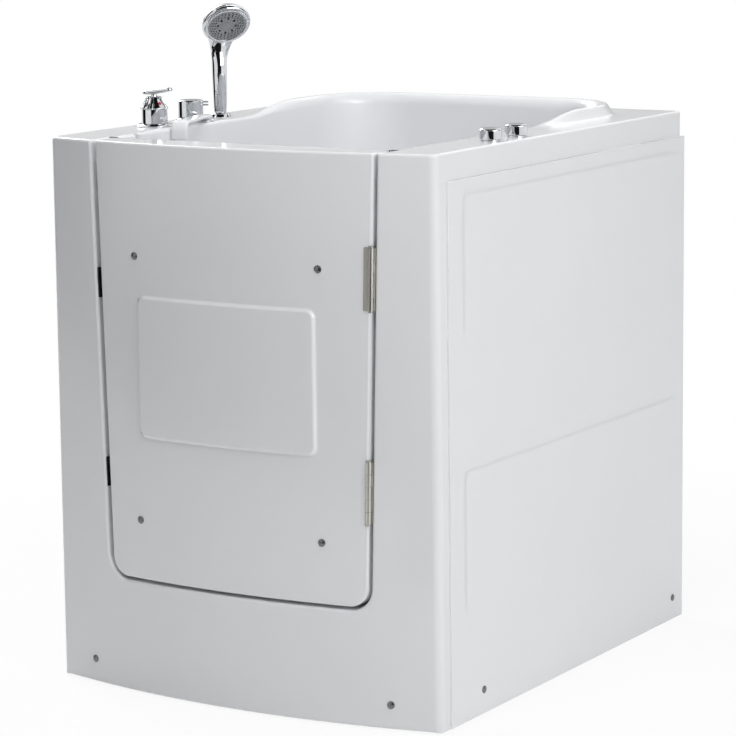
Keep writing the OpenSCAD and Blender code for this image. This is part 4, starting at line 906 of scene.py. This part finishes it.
def nozzleTree():
    # geometry nodes: low tapered nozzles on rings, each ring a circle of instances
    tree = bpy.data.node_groups.new("nozzleRings", "GeometryNodeTree")
    tree.interface.new_socket("Geometry", in_out="OUTPUT", socket_type="NodeSocketGeometry")
    sockets = [("Nozzle Height", "Float"), ("Material", "Material")]
    for i in range(len(sprayHead["rings"])):
        sockets += [(label + " %d" % (i + 1), kind) for label, kind in
                    (("Count", "Int"), ("Ring Radius", "Float"), ("Nozzle Radius", "Float"))]
    for label, kind in sockets:
        tree.interface.new_socket(label, in_out="INPUT", socket_type="NodeSocket" + kind)
    given = addNode(tree, "NodeGroupInput")
    joined = addNode(tree, "GeometryNodeJoinGeometry")
    for i in range(len(sprayHead["rings"])):
        count, ringRadius, nozzleRadius = (label for label, _ in sockets[3 * i + 2:3 * i + 5])
        circle = addNode(tree, "GeometryNodeMeshCircle",
                         links={"Vertices": (given, count), "Radius": (given, ringRadius)})
        tip = addNode(tree, "ShaderNodeMath", {"operation": "MULTIPLY"}, inputs={1: 0.6},
                      links={0: (given, nozzleRadius)})
        nozzle = addNode(tree, "GeometryNodeMeshCone", inputs={"Vertices": 8},
                         links={"Radius Top": (tip, "Value"), "Radius Bottom": (given, nozzleRadius),
                                "Depth": (given, "Nozzle Height")})
        placed = addNode(tree, "GeometryNodeInstanceOnPoints",
                         links={"Points": (circle, "Mesh"), "Instance": (nozzle, "Mesh")})
        tree.links.new(placed.outputs["Instances"], joined.inputs["Geometry"])
    real = addNode(tree, "GeometryNodeRealizeInstances", links={"Geometry": (joined, "Geometry")})
    finish = addNode(tree, "GeometryNodeSetMaterial",
                     links={"Geometry": (real, "Geometry"), "Material": (given, "Material")})
    out = addNode(tree, "NodeGroupOutput")
    tree.links.new(finish.outputs["Geometry"], out.inputs["Geometry"])
    return tree


def runTree(tree, values):
    carrier = placeObject(tree.name, bpy.data.meshes.new(tree.name))
    modifier = carrier.modifiers.new("nodes", "NODES")
    modifier.node_group = tree
    for item in tree.interface.items_tree:
        if item.in_out == "INPUT":
            modifier[item.identifier] = values[item.name]
    return meshOf(carrier)


nozzleValues = {"Nozzle Height": sprayHead["nozzleHeight"], "Material": nozzleRubber}
for i, (count, ringRadius, nozzleRadius) in enumerate(sprayHead["rings"]):
    nozzleValues.update({"Count %d" % (i + 1): count, "Ring Radius %d" % (i + 1): ringRadius,
                         "Nozzle Radius %d" % (i + 1): nozzleRadius})
nozzleMesh = runTree(nozzleTree(), nozzleValues)
nozzleMesh.transform(Matrix.Translation(headCentre + sprayWay * sprayHead["nozzleFoot"])
                     @ sprayWay.to_track_quat("Z", "Y").to_matrix().to_4x4())
bm = bmesh.new()
turned(bm, headCentre, sprayWay, sprayHead["plate"], False)
addPiece("sprayPlate", meshFrom(bm, "sprayPlate", 50), "handset_face")
addPiece("sprayNozzles", nozzleMesh, "handset_face", nozzleRubber, "black_rubber")
print("spray head:", len(nozzleMesh.polygons), "nozzle faces")


# mixer hood: a ribbed cone with a plain panel for the red dot, and its thick lever
mixer = {
    "x": -0.335, "y": -0.185, "hoodFoot": 0.9913, "hoodHeight": 0.022, "footRadius": 0.025,
    "topRadius": 0.0138, "ribs": 18, "ribPoints": 10, "grooveDepth": 0.0013, "grooveFrom": 0.55,
    "grooveOver": 0.3, "panelAngle": -25, "panelWidth": 34, "panelFade": 6, "pivot": 1.0158,
    "leverRise": 8.0, "leverHeight": 0.0056,
    # along the lever from its pivot, half width, half thickness
    "lever": [(-0.0215, 0.0008, 0.0006), (-0.0212, 0.0034, 0.0020), (-0.0200, 0.0056, 0.0030),
              (-0.0170, 0.0070, 0.0037), (-0.0100, 0.0078, 0.0042), (0.0020, 0.0080, 0.0044),
              (0.0120, 0.0079, 0.0044), (0.0240, 0.0075, 0.0042), (0.0330, 0.0068, 0.0038),
              (0.0372, 0.0056, 0.0031), (0.0392, 0.0036, 0.0020), (0.0398, 0.0010, 0.0006)],
    # up the lever's foot, half width, half depth
    "leverFoot": [(-0.0022, 0.0024, 0.0034), (0.0, 0.0024, 0.0034), (0.0045, 0.0024, 0.0034)],
}


def hoodRing(radius, height, fade):
    # a ring with narrow grooves between its ribs, none across the panel
    m = mixer
    points = []
    steps, half = m["ribs"] * m["ribPoints"], m["ribPoints"] / 2
    for i in range(steps):
        angle = 2 * math.pi * i / steps
        phase = abs((i % m["ribPoints"]) - half) / half
        groove = smoothStep((phase - m["grooveFrom"]) / m["grooveOver"]) * m["grooveDepth"] * fade
        away = abs((math.degrees(angle) - m["panelAngle"] + 180) % 360 - 180)
        reach = radius - groove * smoothStep((away - m["panelWidth"] / 2) / m["panelFade"])
        points.append(Vector((m["x"] + reach * math.cos(angle), m["y"] + reach * math.sin(angle),
                              m["hoodFoot"] + height)))
    return points


bm = bmesh.new()
h, foot, top = mixer["hoodHeight"], mixer["footRadius"], mixer["topRadius"]
# (radius, height, how deep the grooves are)
hoodProfile = [(0.0088, -0.012, 0), (0.0088, 0.0, 0), (foot - 0.0012, 0.0, 0.4),
               (foot - 0.0003, 0.0004, 0.7), (foot, 0.0012, 1), (foot - 0.0004, 0.0022, 1)]
hoodProfile += [(foot + (top - foot) * t - 0.0006 * math.sin(math.pi * t), h * t, 1)
                for t in (0.2, 0.35, 0.5, 0.65, 0.8)]
hoodProfile += [(top + 0.0006, h * 0.93, 0.8), (top - 0.0012, h * 0.99, 0.4), (top - 0.0030, h, 0),
                (0.0052, h, 0), (0.0048, h + 0.0030, 0), (0.0030, h + 0.0036, 0)]
loftRings(bm, [hoodRing(radius, height, fade) for radius, height, fade in hoodProfile])
addPiece("mixerHood", meshFrom(bm, "mixerHood", 50), "mixer_hood")

rise = math.radians(mixer["leverRise"])
barWay, barUp = Vector((math.cos(rise), 0, math.sin(rise))), Vector((-math.sin(rise), 0, math.cos(rise)))
pivot, sideways = Vector((mixer["x"], mixer["y"], mixer["pivot"])), Vector((0, 1, 0))
bm = bmesh.new()
loftRings(bm, [ovalRing(pivot + barWay * along + barUp * mixer["leverHeight"], sideways, barUp, halfWidth,
                        halfThick, 32, 0.6) for along, halfWidth, halfThick in mixer["lever"]])
loftRings(bm, [ovalRing(pivot + barUp * height, sideways, barWay, halfWidth, halfDeep, 32, 0.6)
               for height, halfWidth, halfDeep in mixer["leverFoot"]])
addPiece("mixerLever", meshFrom(bm, "mixerLever", 60), "mixer_lever")
print("mixer made")


# waterfall spout: a ribbon with rounded edges that widens as it arches over the well's edge
spout = {
    "x": -0.309, "y": -0.064, "turn": -74, "top": 0.013, "thickness": 0.007, "footRadius": 0.011,
    "footLength": 0.040, "rearEnd": -0.0145, "reach": 0.1465, "bend": 0.0150, "rearWidth": 0.0245,
    "frontWidth": 0.0305,
    # at the rear end: how far in, how far below the level part, tilt, share of the width
    "rear": [(0.0022, 0.0052, 62, 0.72), (0.0040, 0.0026, 45, 0.86), (0.0075, 0.0006, 18, 0.96)],
    # at the lip: how far past the last ring, and share of the thickness
    "lip": [(0.0016, 0.94), (0.0026, 0.75), (0.0030, 0.3)],
}
turn = math.radians(spout["turn"])
alongSpout = Vector((math.cos(turn), math.sin(turn), 0))
acrossSpout = Vector((-alongSpout.y, alongSpout.x, 0))
spoutFoot = Vector((spout["x"], spout["y"], tub["rimHeight"]))
half = spout["thickness"] / 2


def spoutStations():
    # (along, up, tilt in degrees, share of the width) down the ribbon, from its rear end to its lip
    level, bend = spout["top"] - half, spout["bend"]
    stations = [(spout["rearEnd"] + s, level - drop, tilt, share) for s, drop, tilt, share in spout["rear"]]
    stations += [(along, level, 0, 1) for along in (0.000, 0.030, 0.060, 0.090, 0.115)]
    turnAt = spout["reach"] - half - bend
    for tilt in range(0, 91, 10):
        a = math.radians(tilt)
        stations.append((turnAt + bend * math.sin(a), level - bend + bend * math.cos(a), -tilt, 1))
    stations += [(turnAt + bend, level - bend - s, -90, 1) for s in (0.004, 0.008, 0.012)]
    return stations


def ribbonRing(along, up, tilt, halfWidth, halfThick):
    a = math.radians(tilt)
    normal = alongSpout * -math.sin(a) + Vector((0, 0, math.cos(a)))
    centre = spoutFoot + alongSpout * along + Vector((0, 0, up))
    return ovalRing(centre, acrossSpout, normal, halfWidth, halfThick, 40, 0.6)


bm = bmesh.new()
rings = []
for along, up, tilt, widthShare in spoutStations():
    share = smoothStep((along - spout["rearEnd"]) / (spout["reach"] - spout["rearEnd"]))
    halfWidth = (spout["rearWidth"] + (spout["frontWidth"] - spout["rearWidth"]) * share) / 2
    rings.append(ribbonRing(along, up, tilt, halfWidth * widthShare, half))
lipHalf = spout["frontWidth"] / 2
for step, shrink in spout["lip"]:
    rings.append(ribbonRing(along, up - step, tilt, lipHalf - half * (1 - shrink), half * shrink))
loftRings(bm, rings)
loftRings(bm, turnedRings(spoutFoot, upright, [(spout["footRadius"], -spout["footLength"]),
                                               (spout["footRadius"], spout["top"] - half)], 48))
addPiece("waterfallSpout", meshFrom(bm, "waterfallSpout", 50), "spout")

# latch keepers: black plates on the jamb, seen through the gap beside the door
keeper = {"heights": (0.385, 0.715), "length": 0.052, "front": 0.004, "depth": 0.032, "proud": 0.002,
          "sunk": 0.006, "slotLength": 0.028, "slotDepth": 0.011, "edge": 0.0006}


def around(middle, length):
    return middle - length / 2, middle + length / 2


def slottedPlate(bm, thick, deep, tall, slotDeep, slotTall):
    # plate square to X with a slot for the tongue; each argument is a low and a high value
    outer, slot = ([(ys[0], zs[0]), (ys[1], zs[0]), (ys[1], zs[1]), (ys[0], zs[1])]
                   for ys, zs in ((deep, tall), (slotDeep, slotTall)))
    rings = [[bm.verts.new((x, y, z)) for y, z in loop]
             for x, loop in ((thick[0], outer), (thick[0], slot), (thick[1], slot), (thick[1], outer))]
    for first, second in zip(rings, rings[1:] + rings[:1]):
        bridgeRings(bm, first, second)


bm = mergedCopy("latch_keepers")
for vertex in bm.verts:
    vertex.co.x -= shells["jambShift"]
slotY = sum(corner[1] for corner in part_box("latch_keepers")) / 2
for height in keeper["heights"]:
    wallX = doorEdgeAt(height) - door["gap"] - shells["jambShift"]
    frontY = bowFront(wallX) + keeper["front"]
    slottedPlate(bm, (wallX - keeper["sunk"], wallX + keeper["proud"]), (frontY, frontY + keeper["depth"]),
                 around(height, keeper["length"]), around(slotY, keeper["slotDepth"]),
                 around(height, keeper["slotLength"]))
bmesh.ops.recalc_face_normals(bm, faces=bm.faces)
roundEdges(bm, sharpEdges(bm), keeper["edge"], 2)
addPiece("latchKeepers", meshFrom(bm, "latchKeepers"), "latch_keepers")
print("spout and keepers made")

# camera
viewpoint = {"place": (2.7960, -4.5505, 1.4309), "turn": 31.64, "down": 9.68, "roll": -0.71, "lens": 146.8,
             "sensor": 36}
turn, down, roll = (math.radians(viewpoint[k]) for k in ("turn", "down", "roll"))
ahead = Vector((-math.sin(turn) * math.cos(down), math.cos(turn) * math.cos(down), -math.sin(down)))
across = ahead.cross(upright).normalized()
above = across.cross(ahead)
right = math.cos(roll) * across + math.sin(roll) * above
up = -math.sin(roll) * across + math.cos(roll) * above
cameraData = bpy.data.cameras.new("studioCamera")
cameraData.lens = viewpoint["lens"]
cameraData.sensor_width = viewpoint["sensor"]
camera = placeObject("studioCamera", cameraData)
camera.matrix_world = Matrix([[right[i], up[i], -ahead[i], viewpoint["place"][i]] for i in range(3)]
                             + [[0, 0, 0, 1]])
bpy.context.scene.camera = camera

# studio
studio = {"floorSize": 24, "floorTone": "#FFFFFF", "floorWhite": 0.9, "whiteFrom": 0.7, "whiteTo": 2.2,
          "worldLight": 0.01}
plainWhite = (1, 1, 1, 1)


def seenDirectly(tree):
    # 1 for rays from the camera, from a mirror or through glass, otherwise 0
    rays = addNode(tree, "ShaderNodeLightPath")
    seen = (rays, "Is Camera Ray")
    for kind in ("Is Glossy Ray", "Is Transmission Ray"):
        larger = addNode(tree, "ShaderNodeMath", {"operation": "MAXIMUM"}, links={0: seen, 1: (rays, kind)})
        seen = (larger, "Value")
    return seen


floorMaterial, tree = newMaterial("studio_floor")
where = addNode(tree, "ShaderNodeTexCoord")
away = addNode(tree, "ShaderNodeVectorMath", {"operation": "LENGTH"}, links={0: (where, "Object")})
whiter = addNode(tree, "ShaderNodeMapRange", {"interpolation_type": "SMOOTHSTEP"},
                 inputs={"From Min": studio["whiteFrom"], "From Max": studio["whiteTo"],
                         "To Min": studio["floorWhite"], "To Max": 1.0},
                 links={"Value": (away, "Value")})
share = addNode(tree, "ShaderNodeMath", {"operation": "MULTIPLY"},
                links={0: seenDirectly(tree), 1: (whiter, "Result")})
matte = addNode(tree, "ShaderNodeBsdfDiffuse", inputs={"Color": hexColour(studio["floorTone"])})
glow = addNode(tree, "ShaderNodeEmission", inputs={"Color": plainWhite, "Strength": 1.0})
mixed = addNode(tree, "ShaderNodeMixShader",
                links={0: (share, "Value"), 1: (matte, "BSDF"), 2: (glow, "Emission")})
addNode(tree, "ShaderNodeOutputMaterial", links={"Surface": (mixed, "Shader")})
bpy.ops.mesh.primitive_grid_add(x_subdivisions=2, y_subdivisions=2, size=studio["floorSize"])
floor = bpy.context.active_object
floor.name = "studioFloor"
floor.data.materials.append(floorMaterial)

world = bpy.data.worlds.new("studioWorld")
bpy.context.scene.world = world
world.use_nodes = True
tree = world.node_tree
tree.nodes.clear()
dim, white = (addNode(tree, "ShaderNodeBackground", inputs={"Color": plainWhite, "Strength": strength})
              for strength in (studio["worldLight"], 1.0))
mixed = addNode(tree, "ShaderNodeMixShader",
                links={0: seenDirectly(tree), 1: (dim, "Background"), 2: (white, "Background")})
addNode(tree, "ShaderNodeOutputWorld", links={"Surface": (mixed, "Shader")})


def aimAt(thing, place, target):
    thing.location = place
    thing.rotation_euler = (Vector(target) - Vector(place)).to_track_quat("-Z", "Y").to_euler()


lamps = {
    # place, aim, size, power, whether metal mirrors it
    "sideSoftbox": ((4.2, -0.4, 2.2), (0, 0, 0.6), 2.6, 27, True),
    "rightSoftbox": ((3.8, -1.8, 2.0), (0, 0, 0.6), 2.2, 61, True),
    "topSoftbox": ((-0.2, 0.0, 3.8), (0, 0, 0.6), 2.2, 35, False),
    "topFront": ((0.4, -1.8, 3.6), (0, 0.2, 0.7), 1.8, 39, False),
    "leftRear": ((-3.2, 1.5, 2.8), (0, 0, 0.8), 2.0, 82, True),
    "rearStrip": ((-0.6, 4.2, 3.0), (0, 0, 0.9), 1.8, 10, True),
}
for lampName, (place, target, size, power, mirrored) in lamps.items():
    lampData = bpy.data.lights.new(lampName, "AREA")
    lampData.shape = "SQUARE"
    lampData.size = size
    lampData.energy = power
    lamp = placeObject(lampName, lampData)
    lamp.visible_glossy = mirrored
    aimAt(lamp, place, target)

# black and grey cards that only reflections see, so that the chrome has something dark to show
cards = {
    # place, aim, width, height, grey tone
    "frontTop": ((1.2, -2.2, 6.0), (0, 0, 1), 8.0, 8.0, 0.01),
    "frontLeftFloor": ((-2.4, -4.4, 0.004), (-2.4, -4.4, -1), 5.0, 4.4, 0.01),
    "rightRear": ((3.6, 3.4, 2.7), (0, 0, 1), 2.5, 3.0, 0.01),
    "frontFloor": ((2.9, -3.9, 0.004), (2.9, -3.9, -1), 5.5, 5.0, 0.01),
    "rearGrey": ((-3.3, 5.4, 2.1), (0, 0, 1.6), 10.0, 3.0, 0.46),
    "behindCamera": ((3.4, -5.6, 0.9), (0, 0, 0.9), 7.5, 3.4, 0.01),
    "leftCard": ((-4.6, -1.6, 2.2), (0, 0, 0.9), 3.6, 5.6, 0.01),
}
for cardName, (place, target, width, height, tone) in cards.items():
    bpy.ops.mesh.primitive_plane_add(size=1)
    board = bpy.context.active_object
    board.name = cardName
    board.scale = (width, height, 1)
    aimAt(board, place, target)
    cardMaterial, tree = newMaterial(cardName + "Material")
    sheen = addNode(tree, "ShaderNodeEmission", inputs={"Color": plainWhite, "Strength": tone})
    addNode(tree, "ShaderNodeOutputMaterial", links={"Surface": (sheen, "Emission")})
    board.data.materials.append(cardMaterial)
    for ray in ("camera", "diffuse", "shadow", "transmission"):
        setattr(board, "visible_" + ray, False)
bpy.context.scene.view_settings.view_transform = "Standard"
print("studio set")
